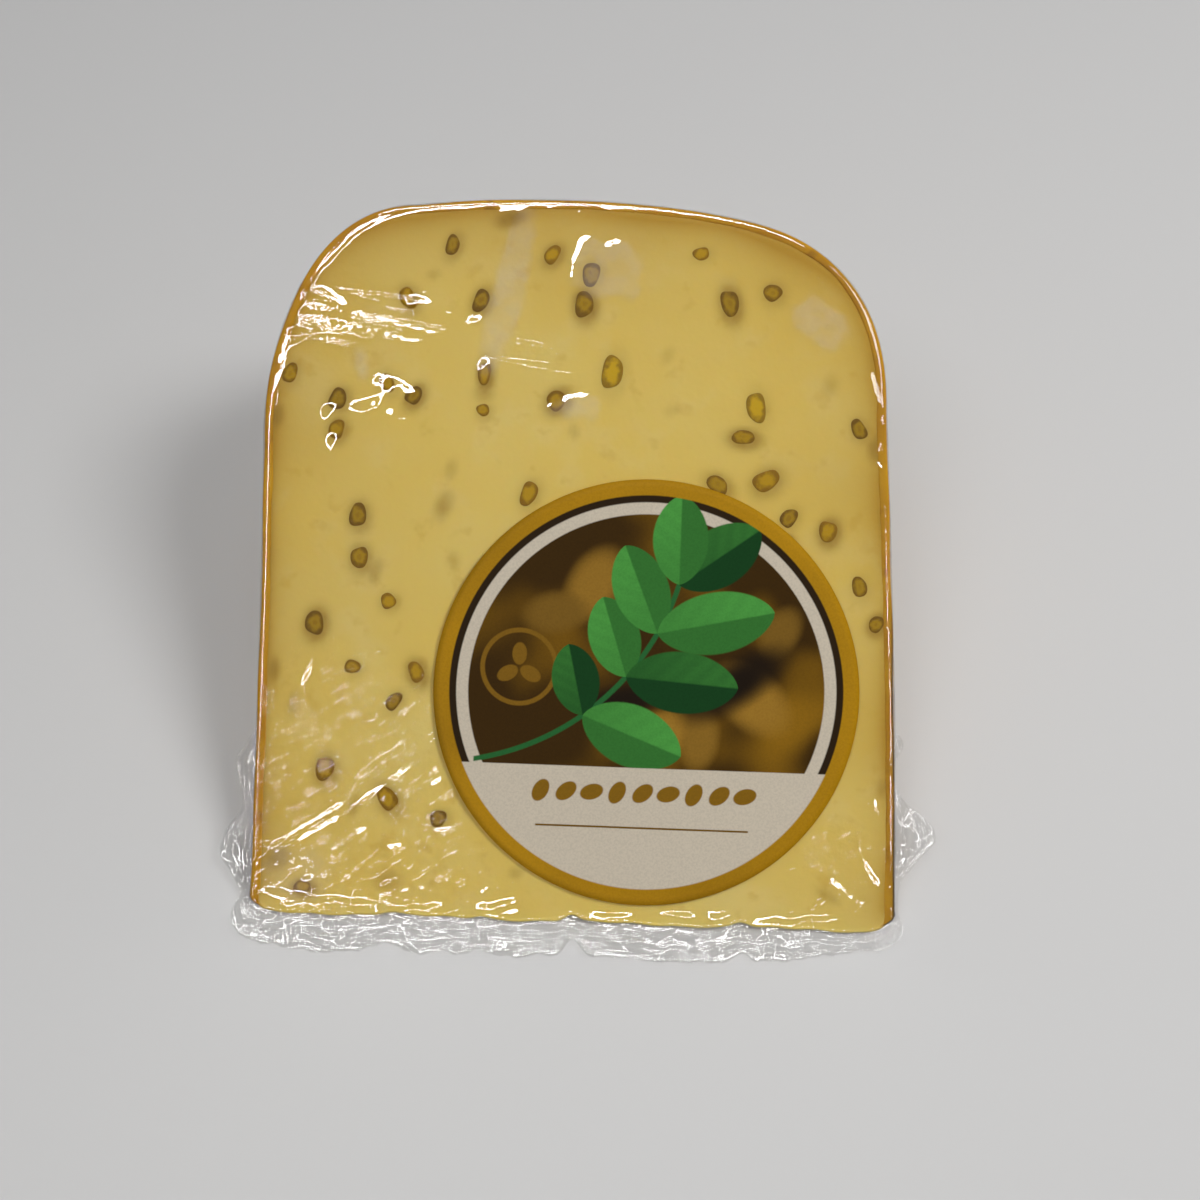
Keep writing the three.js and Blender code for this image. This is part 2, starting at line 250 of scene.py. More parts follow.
def corner_rings(ring, away, lift, rounding, steps, upper=True, keep_thin=False):
    """Rings over the corner between a cut and the wall: a quarter circle of this rounding."""
    rings = []
    for angle in np.linspace(0, math.pi / 2, steps):
        reach = away - rounding + rounding * math.sin(angle)
        loop = ring.moved(reach, keep_thin)
        height = lift - rounding + rounding * math.cos(angle)
        rings.append(on_cut(loop[:, 0], loop[:, 1], np.broadcast_to(height, ring.count), upper))
    return rings


def wall_rings(ring, first, last, turn_from, turn_to, steps, bulge=0.0):
    """Rings between two rings of the wall. They keep to the wheel's curve: a straight blend of
    the two, plus what the arc about the axis stands out beyond its chord. The thin edge has no
    arc and swells by bulge instead."""
    arm = (ring.place[:, 1] * (1 - ring.thin))[:, None]

    def on_arc(turn):
        return arm * np.array([0.0, math.cos(turn), math.sin(turn)])

    rings = []
    for share in np.linspace(0, 1, steps + 1)[1:-1]:
        turn = turn_from + (turn_to - turn_from) * share
        chord = on_arc(turn_from) * (1 - share) + on_arc(turn_to) * share
        swell = np.array([0.0, -1.0, 0.0]) * bulge * 4 * share * (1 - share) * ring.thin[:, None]
        rings.append(first * (1 - share) + last * share + on_arc(turn) - chord + swell)
    return rings


# ---- meshes ----

def patch_quads(ring, start=0, upwards=True):
    """Quads of a patch whose points start at this index."""
    grid = ring.grid() + start
    quads = np.stack([grid[:-1, :-1], grid[:-1, 1:], grid[1:, 1:], grid[1:, :-1]], axis=-1).reshape(-1, 4)
    return quads if upwards else quads[:, ::-1]


def strip_quads(loop, next_loop, closed=True):
    """Quads between two rows of indices, facing out when the second row lies below."""
    if closed:
        return np.stack([loop, np.roll(loop, -1), np.roll(next_loop, -1), next_loop], axis=1)
    return np.stack([loop[:-1], loop[1:], next_loop[1:], next_loop[:-1]], axis=1)


def sleeve(rows, closed_rows=True, closed_round=False, start=0):
    """Points and quads of a row-by-row grid, given as an array (rows, places, 3)."""
    count, wide = rows.shape[:2]
    index = np.arange(count * wide).reshape(count, wide) + start
    pairs = range(count) if closed_round else range(count - 1)
    quads = [strip_quads(index[k], index[(k + 1) % count], closed_rows) for k in pairs]
    return rows.reshape(-1, 3), np.concatenate(quads)


def fan(middle, row):
    """Triangles from a middle point to each step of a closed row of indices."""
    return [[middle, int(one), int(after)] for one, after in zip(row, np.roll(row, -1))]


def make_piece(name, points, faces, material, nodes):
    """A piece from frame metres and faces: smooth, on its body, standing for its nodes."""
    mesh = bpy.data.meshes.new(name)
    mesh.from_pydata(points.tolist(), [], [list(map(int, face)) for face in faces])
    shape = bmesh.new()
    shape.from_mesh(mesh)
    bmesh.ops.recalc_face_normals(shape, faces=shape.faces)
    shape.to_mesh(mesh)
    shape.free()
    mesh.polygons.foreach_set("use_smooth", np.ones(len(mesh.polygons), bool))
    mesh.materials.append(material)
    mesh.update()
    piece = bpy.data.objects.new(name, mesh)
    bpy.context.scene.collection.objects.link(piece)
    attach(piece, BODY)
    if nodes:
        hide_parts(*nodes)
    return piece


def paint(piece, name, values):
    """Stores one number per point under this name, for the piece's material."""
    layer = piece.data.attributes.new(name, "FLOAT", "POINT")
    layer.data.foreach_set("value", np.ascontiguousarray(values, np.float32))


def paint_map(piece, name, u, v):
    """Stores two numbers per point as a map under this name."""
    layer = piece.data.uv_layers.new(name=name)
    corners = np.empty(len(piece.data.loops), np.int32)
    piece.data.loops.foreach_get("vertex_index", corners)
    values = np.stack([u[corners], v[corners]], axis=1)
    layer.data.foreach_set("uv", values.astype(np.float32).ravel())


# ---- soft shapes shared by the pieces ----

def step(value, low, high):
    """0 below low, 1 above high, and a smooth S between."""
    t = np.clip((value - low) / (high - low), 0, 1)
    return t * t * (3 - 2 * t)


def bell(value, middle, reach):
    """1 at the middle, falling off as a bell over this reach."""
    return np.exp(-(((value - middle) / reach) ** 2))


def waves(x, y, length, seed, count=7):
    """Irregular waves from -1 to 1: sine waves of about this length, whose directions, lengths
    and phases are drawn from the seed."""
    draw = np.random.default_rng(seed)
    total = 0
    for _ in range(count):
        angle, phase = draw.uniform(0, math.pi), draw.uniform(0, 2 * math.pi)
        pace = 2 * math.pi / (length * draw.uniform(0.7, 1.4))
        total = total + np.sin((x * math.cos(angle) + y * math.sin(angle)) * pace + phase)
    return total / math.sqrt(count * 2)


def distance_to(x, y, points):
    """Distance from each place to a row of points, and the nearest point's share of the row."""
    best = np.full(np.shape(x), np.inf)
    share = np.zeros(np.shape(x))
    for k, (px, py) in enumerate(points):
        distance = np.hypot(x - px, y - py)
        nearer = distance < best
        best = np.where(nearer, distance, best)
        share = np.where(nearer, k / (len(points) - 1), share)
    return best, share


# ---- seeds ----

SEED_DOME = 0.12  # rise of a cut seed's face above its outline
SEED_DEPTH = 0.85  # depth of a seed below its outline, in half widths
SEED_HEART_DARK = (0.36, 0.21, 0.006, 1)
SEED_SKIN_DARK = (0.17, 0.085, 0.003, 1)
GOLDEN_HEART = (0.60, 0.37, 0.008, 1)
GOLDEN_SKIN = (0.30, 0.17, 0.008, 1)


class Seed:
    """A seed's place on its cut, and its half length, half width and direction, measured on its
    solid in the frame."""

    def __init__(self, node):
        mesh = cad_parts[node].data
        points = np.empty(len(mesh.vertices) * 3)
        mesh.vertices.foreach_get("co", points)
        points = points.reshape(-1, 3)
        self.node = node
        across, out, lift = off_cut(points)
        self.upper = abs(lift.max()) < 0.2
        if not self.upper:
            across, out = points[:, 0] / MM - ACROSS_ZERO, points[:, 1] / MM - OUT_ZERO
        flat = np.stack([across, out], axis=1)
        self.across, self.out = (flat.max(axis=0) + flat.min(axis=0)) / 2
        centred = flat - [self.across, self.out]
        _, axes = np.linalg.eigh(centred.T @ centred)
        self.along = axes[:, 1]
        self.half_length = np.abs(centred @ axes[:, 1]).max()
        self.half_width = np.abs(centred @ axes[:, 0]).max()

    def reach(self, across, out):
        """Distance from the seed's middle, counted so that its outline is at 1."""
        x, y = across - self.across, out - self.out
        lengthways = (x * self.along[0] + y * self.along[1]) / self.half_length
        sideways = (y * self.along[0] - x * self.along[1]) / self.half_width
        return np.sqrt(lengthways**2 + sideways**2)


SEEDS = [Seed(node) for node in SEED_NODES]
GOLDEN_SEEDS = [(3, 91), (27, 86)]  # places of the two seeds that show their yellow skin
GOLDEN_TONE = 2.0  # a seed's tone is 0 to 1, and this for a golden one


# ---- node trees ----

def add_node(tree, kind, inputs=None, **settings):
    """A node with its settings, and its inputs linked to a socket or set to a value."""
    made = tree.nodes.new(kind)
    for key, value in settings.items():
        setattr(made, key, value)
    for key, value in (inputs or {}).items():
        socket = made.inputs[key]
        if isinstance(value, bpy.types.NodeSocket):
            tree.links.new(value, socket)
        else:
            socket.default_value = value
    return made


def number(tree, operation, *values, clamp=False):
    """The result of a Math node on numbers or sockets."""
    inputs = dict(enumerate(values))
    return add_node(tree, "ShaderNodeMath", inputs, operation=operation, use_clamp=clamp).outputs[0]


def blend_colour(tree, share, first, second):
    """Two colours mixed by a share."""
    mix = {0: share, 6: first, 7: second}
    return add_node(tree, "ShaderNodeMix", mix, data_type="RGBA").outputs[2]


def spread(tree, value, low, high, to_low=0.0, to_high=1.0):
    """A value's range between low and high, as a smooth step onto another range."""
    made = add_node(
        tree, "ShaderNodeMapRange",
        {"Value": value, "From Min": low, "From Max": high, "To Min": to_low, "To Max": to_high},
        interpolation_type="SMOOTHSTEP",
    )
    return made.outputs[0]


def painted(tree, name):
    """A number stored on the piece."""
    return add_node(tree, "ShaderNodeAttribute", attribute_name=name).outputs["Fac"]


def object_noise(tree, size, detail=3.0, stretch=(1, 1, 1), kind="FBM", roughness=0.5):
    """Noise in the piece's own metres, with features of about this size."""
    place = add_node(tree, "ShaderNodeTexCoord").outputs["Object"]
    mapped = add_node(tree, "ShaderNodeMapping", {"Vector": place, "Scale": stretch}).outputs[0]
    noise = add_node(
        tree, "ShaderNodeTexNoise",
        {"Vector": mapped, "Scale": 1 / size, "Detail": detail, "Roughness": roughness}, noise_type=kind,
    )
    return noise.outputs[0]


def new_material(name):
    """An empty material, with its output node."""
    material = bpy.data.materials.new(name)
    material.use_nodes = True
    material.node_tree.nodes.clear()
    output = add_node(material.node_tree, "ShaderNodeOutputMaterial")
    return material, material.node_tree, output


def opaque(tree, output, colour, roughness, gloss, height, strength, depth, glow=None):
    """An opaque finish. Its relief comes from a height, with a strength and a depth in metres;
    where light sinks in, glow gives how much does, how deep in metres, and how far each colour."""
    relief = {"Strength": strength, "Distance": depth, "Height": height}
    normal = add_node(tree, "ShaderNodeBump", relief).outputs[0]
    finish = {"Base Color": colour, "Roughness": roughness, "Specular IOR Level": gloss, "Normal": normal}
    if glow:
        names = "Subsurface Weight", "Subsurface Scale", "Subsurface Radius"
        finish.update(zip(names, glow))
    shader = add_node(tree, "ShaderNodeBsdfPrincipled", finish)
    tree.links.new(shader.outputs[0], output.inputs[0])


def rgba(colour):
    """A colour with full cover."""
    return (*colour, 1.0)


# ---- settings ----

def length_property(name, description, millimetres):
    """A length that a maker can change."""
    return bpy.props.FloatProperty(
        name=name, description=description, default=millimetres * MM, min=0, unit="LENGTH", precision=5
    )


def colour_property(name, description, colour):
    """A colour that a maker can change."""
    return bpy.props.FloatVectorProperty(
        name=name, description=description, default=colour, size=3, min=0, max=1, subtype="COLOR"
    )


class CheeseSizes(bpy.types.PropertyGroup):
    """Sizes that a maker would change."""

    coat: length_property("Rind coat", "Thickness of the coating on the rim and the flat faces", 1.55)
    coat_round: length_property("Coat edge", "Rounding where the knife leaves the coating", 0.5)
    cling: length_property("Film cling", "Least distance between the cheese and the film", 0.2)
    film: length_property("Film", "Thickness of the clear film", 0.08)
    label: length_property("Label paper", "Thickness of the paper label", 0.16)
    seed_stand: length_property("Seed stand", "How far a bared seed stands out of the cut", 0.12)


class CheeseColours(bpy.types.PropertyGroup):
    """Colours that a maker would change, in linear light."""

    paste: colour_property("Paste", "Cheese in the middle of a cut", (0.78, 0.565, 0.125))
    # Drier paste by the rind, and painted shade: this colour also darkens the cut slowly inwards from the
    # rind, most towards the thick end.
    paste_rind_and_shade: colour_property(
        "Paste by the rind", "Drier, darker cheese beside the coating", (0.50, 0.285, 0.025)
    )
    coat: colour_property("Rind coat", "Orange coating of the wheel", (0.47, 0.215, 0.002))
    seed_skin: colour_property("Seed skin", "Skin of a fenugreek seed", (0.27, 0.135, 0.003))
    seed_heart: colour_property(
        "Seed heart", "Inside of a seed that the knife opened", (0.50, 0.29, 0.004)
    )
    halo: colour_property("Seed stain", "Stain in the cheese round a seed", (0.35, 0.20, 0.02))
    label_gold: colour_property(
        "Label edge", "Gold-brown ring round the label", (0.54, 0.275, 0.006)
    )
    label_dark: colour_property("Label field", "Dark brown field of the label", (0.045, 0.02, 0.001))
    label_pale: colour_property("Label paper", "Bare paper of the label", (0.62, 0.54, 0.42))
    floor: colour_property("Floor", "Plain pale floor", (0.56, 0.552, 0.540))


def sizes():
    """The sizes now set."""
    return bpy.context.scene.cheese_sizes


def colours():
    """The colours now set."""
    return bpy.context.scene.cheese_colours


# ---- cheese paste ----

PASTE_CLOUD = (0.78, 0.59, 0.16, 1)  # warmer cheese, in wide clouds
PASTE_BLOTCH = (0.80, 0.64, 0.24, 1)
PASTE_SPECK = (0.60, 0.37, 0.045, 1)
SEED_DIP = 0.16  # how far the cut sinks by a seed
STAIN_SHIFT = (0.25, -0.3)  # across and out: the stain lies a little to one side of its seed
DEEP_STRENGTH = 1.35  # all deep seeds' stains are made stronger by this
UNDER_COAT = 0.5  # how far the paste reaches in under the coating,
PASTE_TUCK = 0.25  # and how far it dips there


def paste_material():
    """Pale yellow cheese that lets light in a little, drier and darker by the rind, with a painted
    shade by the rind that grows towards the thick end, and a brown stain round each seed."""
    material, tree, output = new_material("cheese_paste")
    c = colours()
    cloudy = object_noise(tree, 0.022, 4)
    body = blend_colour(tree, spread(tree, cloudy, 0.35, 0.7), rgba(c.paste), PASTE_CLOUD)
    pale = spread(tree, object_noise(tree, 0.0085, 3), 0.50, 0.70, 0.0, 0.35)
    body = blend_colour(tree, pale, body, PASTE_BLOTCH)
    specks = spread(tree, object_noise(tree, 0.0042, 3), 0.58, 0.74)
    marbled = blend_colour(tree, number(tree, "MULTIPLY", specks, 0.34), body, PASTE_SPECK)
    # Drier paste and painted shade by the rind, the shade strongest towards the thick end.
    rind = blend_colour(tree, painted(tree, "rind_near_and_shade"), marbled, rgba(c.paste_rind_and_shade))
    stain_edge = number(tree, "MULTIPLY_ADD", object_noise(tree, 0.0016, 2), 0.5, 0.72)
    stain = number(tree, "MULTIPLY", painted(tree, "stain"), stain_edge, clamp=True)
    stained = blend_colour(tree, stain, rind, rgba(c.halo))
    grain = object_noise(tree, 0.0012, 3)
    opaque(tree, output, stained, 0.5, 0.03, grain, 0.25, 0.00015, (0.25, 0.002, (1.0, 0.7, 0.25)))
    return material


def paste_lift(across, out, upper):
    """Height of the cut: slow waves of the knife, a faint drag along it, and a dip by each seed."""
    seed = 3 if upper else 11
    lift = 0.06 * waves(across, out, 34, seed) + 0.02 * waves(across * 0.3, out, 5, seed + 1)
    for one in SEEDS:
        if one.upper == upper:
            lift = lift - SEED_DIP * np.exp(-((one.reach(across, out) / 0.95) ** 4))
    return lift


# Seeds that lie whole under the upper cut show only as stains: across, out, half length, half
# width, turn in degrees, and strength.
DEEP_SEEDS = [
    (-27, 106, 1.0, 0.8, 0, 0.25), (12, 94, 1.3, 0.9, 60, 0.2), (13, 85, 1.2, 0.9, 20, 0.16),
    (39, 90, 1.6, 1.2, 80, 0.22), (47, 80, 2.0, 1.4, 95, 0.6), (49, 69, 1.4, 1.1, 90, 0.4),
    (-23, 74, 1.5, 0.9, 80, 0.28), (-24, 68, 2.2, 1.3, 70, 0.42), (-22, 59, 1.4, 1.0, 100, 0.22),
    (-35, 57, 1.9, 1.1, 80, 0.4), (-47.6, 34.5, 2.0, 0.9, 85, 0.34), (-37, 18, 1.7, 0.8, 75, 0.38),
    (-42, 16, 1.6, 0.8, 40, 0.3), (50, 24, 1.4, 1.0, 90, 0.35), (-51, 40, 1.8, 0.9, 90, 0.6),
    (-52, 82, 1.7, 1.0, 90, 0.65), (-49.5, 9, 2.2, 1.6, 30, 0.5), (-31, 6, 2.1, 1.6, 0, 0.34),
    (-10, 8, 1.1, 0.9, 0, 0.3), (41.5, 6, 2.0, 0.9, 150, 0.3), (-14.5, 115.8, 2.4, 1.4, 20, 0.7),
    (-3, 81, 1.2, 0.8, 110, 0.25), (-18, 87, 1.6, 1.5, 90, 0.4), (33, 63.5, 1.8, 1.2, 80, 0.5),
]


def paste_stain(across, out, upper):
    """Strength of the stain: full beside a seed, fading over about its half width, and the
    softer stains of the seeds that lie deeper."""
    stain = np.zeros(np.shape(across))
    for k, one in enumerate(SEEDS):
        if one.upper == upper:
            strength = 0.5 + 0.3 * math.sin(2.7 * k)
            reach = one.reach(across - STAIN_SHIFT[0], out - STAIN_SHIFT[1])
            stain = np.maximum(stain, strength * np.exp(-((np.maximum(reach - 0.9, 0) / 0.8) ** 2)))
    if upper:
        for middle, far, half_length, half_width, turn, strength in DEEP_SEEDS:
            cos, sin = math.cos(math.radians(turn)), math.sin(math.radians(turn))
            x, y = across - middle, out - far
            reach = np.hypot((x * cos + y * sin) / half_length, (y * cos - x * sin) / half_width)
            stain = np.maximum(stain, DEEP_STRENGTH * strength * np.exp(-((reach / 1.15) ** 3)))
    return stain


def edge_distance(across, out):
    """Distance from a place to the section's outline, without the thin edge."""
    rows, _ = section_at(np.linspace(0.02, 0.98, 240))
    distance, _ = distance_to(across, out, rows)
    return distance


def rind_and_shade_tone(across, out):
    """How near the rind a place is: 1 at the coating, fading fast and then slowly inwards. The fast part is
    the drier paste; the slow part is painted shade, stronger towards the thick end.
    """
    distance = edge_distance(across, out) - sizes().coat / MM
    inside = np.maximum(distance, 0)
    # Painted shade: the slow darkening inwards from the rind grows towards the thick end.
    thick = 0.5 + 0.5 * step(out, 40, 110)
    shade = 0.60 * np.exp(-inside / 1.5) + 0.68 * thick * np.exp(-inside / 12)
    return shade * (0.9 + 0.25 * waves(across, out, 26, 5))


def build_paste():
    """One closed solid: a patch on each cut, joined by the turned wall under the coating."""
    ring = Ring(150, 168)
    loop = ring.moved(-sizes().coat / MM + UNDER_COAT, keep_thin=True)
    patch = ring.patch(loop)
    across, out = patch[..., 0].ravel(), patch[..., 1].ravel()
    tuck = PASTE_TUCK * (1 - step(edge_distance(across, out), 1.3, 1.9))
    top = on_cut(across, out, paste_lift(across, out, True) - tuck, True)
    base = on_cut(across, out, paste_lift(across, out, False) - tuck, False)
    border = ring.border()
    wall = np.array(wall_rings(ring, top[border], base[border], WEDGE_ANGLE, 0.0, 9, bulge=0.35))
    wall_points, wall_quads = sleeve(wall, start=len(top))
    base_start = len(top) + len(wall_points)
    first_row = len(top) + np.arange(ring.count)
    last_row = base_start - ring.count + np.arange(ring.count)
    faces = np.concatenate([
        patch_quads(ring), strip_quads(border, first_row), wall_quads,
        strip_quads(last_row, border + base_start), patch_quads(ring, base_start, upwards=False),
    ])
    points = to_frame(np.concatenate([top, wall_points, base]))
    piece = make_piece("cheese_paste_body", points, faces, paste_material(), ["cheese_paste"])
    wall_place = np.tile(loop, (len(wall), 1))
    tone = rind_and_shade_tone(across, out)
    paint(piece, "rind_near_and_shade", np.concatenate([tone, rind_and_shade_tone(*wall_place.T), tone]))
    stains = [paste_stain(across, out, upper) for upper in (True, False)]
    paint(piece, "stain", np.concatenate([stains[0], np.zeros(len(wall_points)), stains[1]]))


# ---- rind coat ----

COAT_LIGHT = (0.58, 0.30, 0.004, 1)  # where the brush left it thin
COAT_SPECK = (0.22, 0.085, 0.004, 1)
# Painted shade: a near-black band along the upper cut's rounded edge, on the lower right, with blotches on
# the left.
COAT_PAINTED_SHADE = (0.035, 0.022, 0.008, 1)
LIP_WIDTH = 0.25  # the coating's inner corner is a lip this wide,
LIP_RISE = 0.02  # which stands this far off the cut,
LIP_DIP = 0.14  # and dips this far into the paste


def coat_material():
    """Orange coating with a soft gloss, brushed tone, fine pits of the cloth it dried on, and a painted dark
    shade along part of the upper cut's edge.
    """
    material, tree, output = new_material("rind_coat")
    c = colours()
    brushed = object_noise(tree, 0.012, 4, stretch=(1, 1, 3))
    tone = blend_colour(tree, spread(tree, brushed, 0.3, 0.72), rgba(c.coat), COAT_LIGHT)
    specks = spread(tree, object_noise(tree, 0.0035, 3), 0.6, 0.74)
    worn_and_shaded = blend_colour(tree, number(tree, "MULTIPLY", specks, 0.5), tone, COAT_SPECK)
    # Painted shade, broken up by the brushed tone.
    uneven_shade = spread(tree, brushed, 0.3, 0.5, 0.5, 1.0)
    worn_and_shaded = blend_colour(tree, number(tree, "MULTIPLY", painted(tree, "painted_shade"), uneven_shade), worn_and_shaded, COAT_PAINTED_SHADE)
    pits = object_noise(tree, 0.0009, 4)
    opaque(tree, output, worn_and_shaded, 0.45, 0.04, pits, 0.35, 0.0002, (0.12, 0.002, (1.0, 0.4, 0.08)))
    return material


def build_coat():
    """A closed skin: its section is a band between the outline and the paste, rounded where the
    knife left it, and that band is carried round the wedge angle. A painted dark shade runs along
    the upper cut's edge, all the way on the lower right and in blotches on the left."""
    ring = Ring(120, 150)
    sides = 2 * ring.tall + ring.wide  # places on the flat faces and the rim
    local = np.maximum(ring.place[:, 1] * WEDGE_ANGLE, 0.4)
    rounding = np.minimum(sizes().coat_round / MM, 0.3 * local)
    swell = 0.12 * ring.ripples(17, 21)
    away = np.where(np.arange(ring.count) < sides, swell, 0)
    thickness = sizes().coat / MM + 0.22 * ring.ripples(24, 22) + 0.08 * ring.ripples(6, 23)

    def rows_at(inset, lift):
        loop = ring.moved(-thickness + inset, keep_thin=True)
        return [on_cut(*loop.T, np.full(ring.count, lift), upper) for upper in (True, False)]

    inner_top, inner_base = rows_at(0, -LIP_DIP)
    lip_top, lip_base = rows_at(LIP_WIDTH, LIP_RISE)
    upper = corner_rings(ring, away, 0.05, rounding, 7, True)
    lower = corner_rings(ring, away, 0.05, rounding, 7, False)[::-1]
    outer_wall = wall_rings(ring, upper[-1], lower[0], WEDGE_ANGLE, 0.0, 26)
    inner_wall = wall_rings(ring, inner_base, inner_top, 0.0, WEDGE_ANGLE, 10)
    band = np.array([inner_top, lip_top, *upper, *outer_wall, *lower, lip_base, inner_base, *inner_wall])
    band = band[:, : sides + 1]
    points, faces = sleeve(band, closed_rows=False, closed_round=True)
    count, wide = band.shape[:2]
    index = np.arange(count * wide).reshape(count, wide)
    ends = [index[:, 0][::-1].tolist(), index[:, -1].tolist()]
    faces = faces.tolist() + ends
    piece = make_piece("rind_coat_skin", to_frame(points), faces, coat_material(), ["rind_coat"])
    side, far = ring.place[: sides + 1].T
    patches = ring.ripples(19, 24)[: sides + 1]
    # Painted shade: strong on the right side and in blotches on the left, only low on the flat faces.
    by_side = np.where(side > 0, 0.9, 0.45 * step(patches, 0.1, 0.5))
    painted_shade = by_side * (1 - step(far + 8 * patches, 42, 60))
    row = np.arange(len(band))[:, None]
    first = len(upper) + 2  # the rows before this one round the corner of the upper cut
    by_cut = step(row, 1, 4) * (1 - step(row, first, first + 4)) + 0 * band[..., 0]
    paint(piece, "painted_shade", (by_cut * painted_shade[None, :]).ravel())


# ---- fenugreek seeds ----

def seed_material():
    """Tan seed with a darker skin at its outline and a yellow heart; each seed has its tone."""
    material, tree, output = new_material("fenugreek_seed")
    c = colours()
    uv = add_node(tree, "ShaderNodeUVMap", uv_map="seed")
    split = add_node(tree, "ShaderNodeSeparateXYZ", {0: uv.outputs[0]})
    radius, tone = split.outputs[0], split.outputs[1]
    uneven = number(tree, "MULTIPLY_ADD", object_noise(tree, 0.0011, 3), 1.0, -0.5)
    reach = number(tree, "ADD", radius, uneven)
    edge = spread(tree, reach, 0.42, 0.92)
    heart = blend_colour(tree, tone, rgba(c.seed_heart), SEED_HEART_DARK)
    core = number(tree, "MULTIPLY", spread(tree, reach, 0.1, 0.34, 1, 0), tone)
    core = number(tree, "MULTIPLY", core, 0.6, clamp=True)
    centre = blend_colour(tree, core, heart, rgba(c.seed_skin))
    skin = blend_colour(tree, tone, rgba(c.seed_skin), SEED_SKIN_DARK)
    cut_seed = blend_colour(tree, edge, centre, skin)
    bright = number(tree, "SUBTRACT", tone, 1.0, clamp=True)
    golden = blend_colour(tree, edge, GOLDEN_HEART, GOLDEN_SKIN)
    colour = blend_colour(tree, bright, cut_seed, golden)
    grain = object_noise(tree, 0.0005, 3)
    opaque(tree, output, colour, 0.5, 0.02, grain, 0.4, 0.0001, (0.1, 0.0005, (1.0, 0.6, 0.2)))
    return material


def seed_surface(seed, order, rounds=16, steps=24):
    """A cut seed: a low dome above its outline and a blunt bowl below it. Longitude runs round
    the lift axis and latitude from pole to pole; the plan is their sines and cosines raised to a
    power below 1, with an outline of its own."""
    latitude = np.linspace(0, math.pi, rounds + 1)[1:-1, None]
    longitude = np.linspace(0, 2 * math.pi, steps, endpoint=False)[None, :]

    def blunt(value):
        return np.sign(value) * np.abs(value) ** 0.84

    uneven = 1 + 0.07 * np.sin(2 * longitude + order) + 0.07 * np.sin(3 * longitude + 2.3 * order)
    length = seed.half_length * blunt(np.cos(longitude)) * blunt(np.sin(latitude)) * uneven
    width = seed.half_width * blunt(np.sin(longitude)) * blunt(np.sin(latitude)) * uneven
    rise = np.cos(latitude) + 0 * longitude
    height = np.where(rise > 0, SEED_DOME * rise, SEED_DEPTH * seed.half_width * rise)
    return length, width, height


def build_seed(seed, order, material):
    """One seed in its pocket, lying along its own direction on its cut."""
    length, width, height = seed_surface(seed, order)
    rows, steps = length.shape
    x = np.append(length.ravel(), [0, 0])
    y = np.append(width.ravel(), [0, 0])
    z = np.append(height.ravel(), [SEED_DOME, -SEED_DEPTH * seed.half_width])
    across = seed.across + x * seed.along[0] - y * seed.along[1]
    out = seed.out + x * seed.along[1] + y * seed.along[0]
    stand = sizes().seed_stand / MM * (0.7 + 0.3 * math.sin(1.9 * order))
    points = on_cut(across, out, z + stand - SEED_DOME, seed.upper)
    index = np.arange(rows * steps).reshape(rows, steps)
    faces = np.concatenate([strip_quads(index[k], index[k + 1]) for k in range(rows - 1)]).tolist()
    faces += fan(rows * steps, index[0]) + fan(rows * steps + 1, index[-1])
    piece = make_piece(seed.node + "_grain", to_frame(points), faces, material, [seed.node])
    radius = np.hypot(x / seed.half_length, y / seed.half_width)
    golden = any(seed.upper and seed.reach(*place) < 1.5 for place in GOLDEN_SEEDS)
    tone = GOLDEN_TONE if golden else 0.5 + 0.5 * math.sin(4.1 * order + 0.7)
    paint_map(piece, "seed", radius, np.full(len(radius), tone))


# ---- clear film ----

FILM_CLEAR = (0.99, 0.99, 0.985, 1)
FILM_CREASE_SHADE = (0.93, 0.93, 0.925, 1)  # painted shade: a grey tint of what shows through, in lines along the skirt's creases
FILM_HAZE = (0.85, 0.85, 0.84, 1)
CRINKLE_DEPTH = 0.00045  # metres
MIRROR_FACING = 0.024  # share of the light that film mirrors where it is seen square on,
MIRROR_GRAZING = 0.65  # and what it mirrors beyond that at a grazing view
MAP_SCALE = 100  # millimetres to one unit of the film's map
SKIRT_MAP_SCALE = 60  # the same, out from the seam: the skirt's streaks lie closer together


class Fold:
    """A fold in the film: a ridge along a curve through three places on a cut."""

    def __init__(self, start, middle, end, width, height):
        t = np.linspace(0, 1, 28)[:, None]
        a, b, c = (np.array(p, float) for p in (start, middle, end))
        bend = 2 * b - (a + c) / 2
        self.points = (1 - t) ** 2 * a + 2 * t * (1 - t) * bend + t**2 * c
        self.width, self.height = width, height

    def lift(self, across, out):
        """The ridge's height: a bell across the curve, tapering at both ends."""
        distance, share = distance_to(across, out, self.points)
        taper = np.sin(math.pi * (0.06 + 0.88 * share)) ** 0.5
        return self.height * bell(distance, 0, self.width) * taper


# Drawn streaks: direction in degrees on the cut, and length and spacing in millimetres.
STREAKS = [(-8, 14.0, 1.1), (34, 4.4, 0.9)]


class AirPatch:
    """A flat blister of trapped air: a blunt oval whose border rises over BORDER millimetres."""

    BORDER = 1.3

    def __init__(self, across, out, half_wide, half_long, turn, height, haze=0.0):
        self.middle = across, out
        self.half = half_wide, half_long
        self.turn = math.radians(turn)
        self.height, self.haze = height, haze

    def share(self, across, out):
        """1 inside the blister and 0 outside, with an uneven border."""
        x, y = across - self.middle[0], out - self.middle[1]
        cos, sin = math.cos(self.turn), math.sin(self.turn)
        u = np.abs(x * cos + y * sin) / self.half[0]
        v = np.abs(y * cos - x * sin) / self.half[1]
        reach = (u**2.6 + v**2.6) ** (1 / 2.6) + 0.12 * waves(across, out, 4.5, 31)
        soft = self.BORDER / 2 / min(self.half)
        return 1 - step(reach, 1 - soft, 1 + soft)


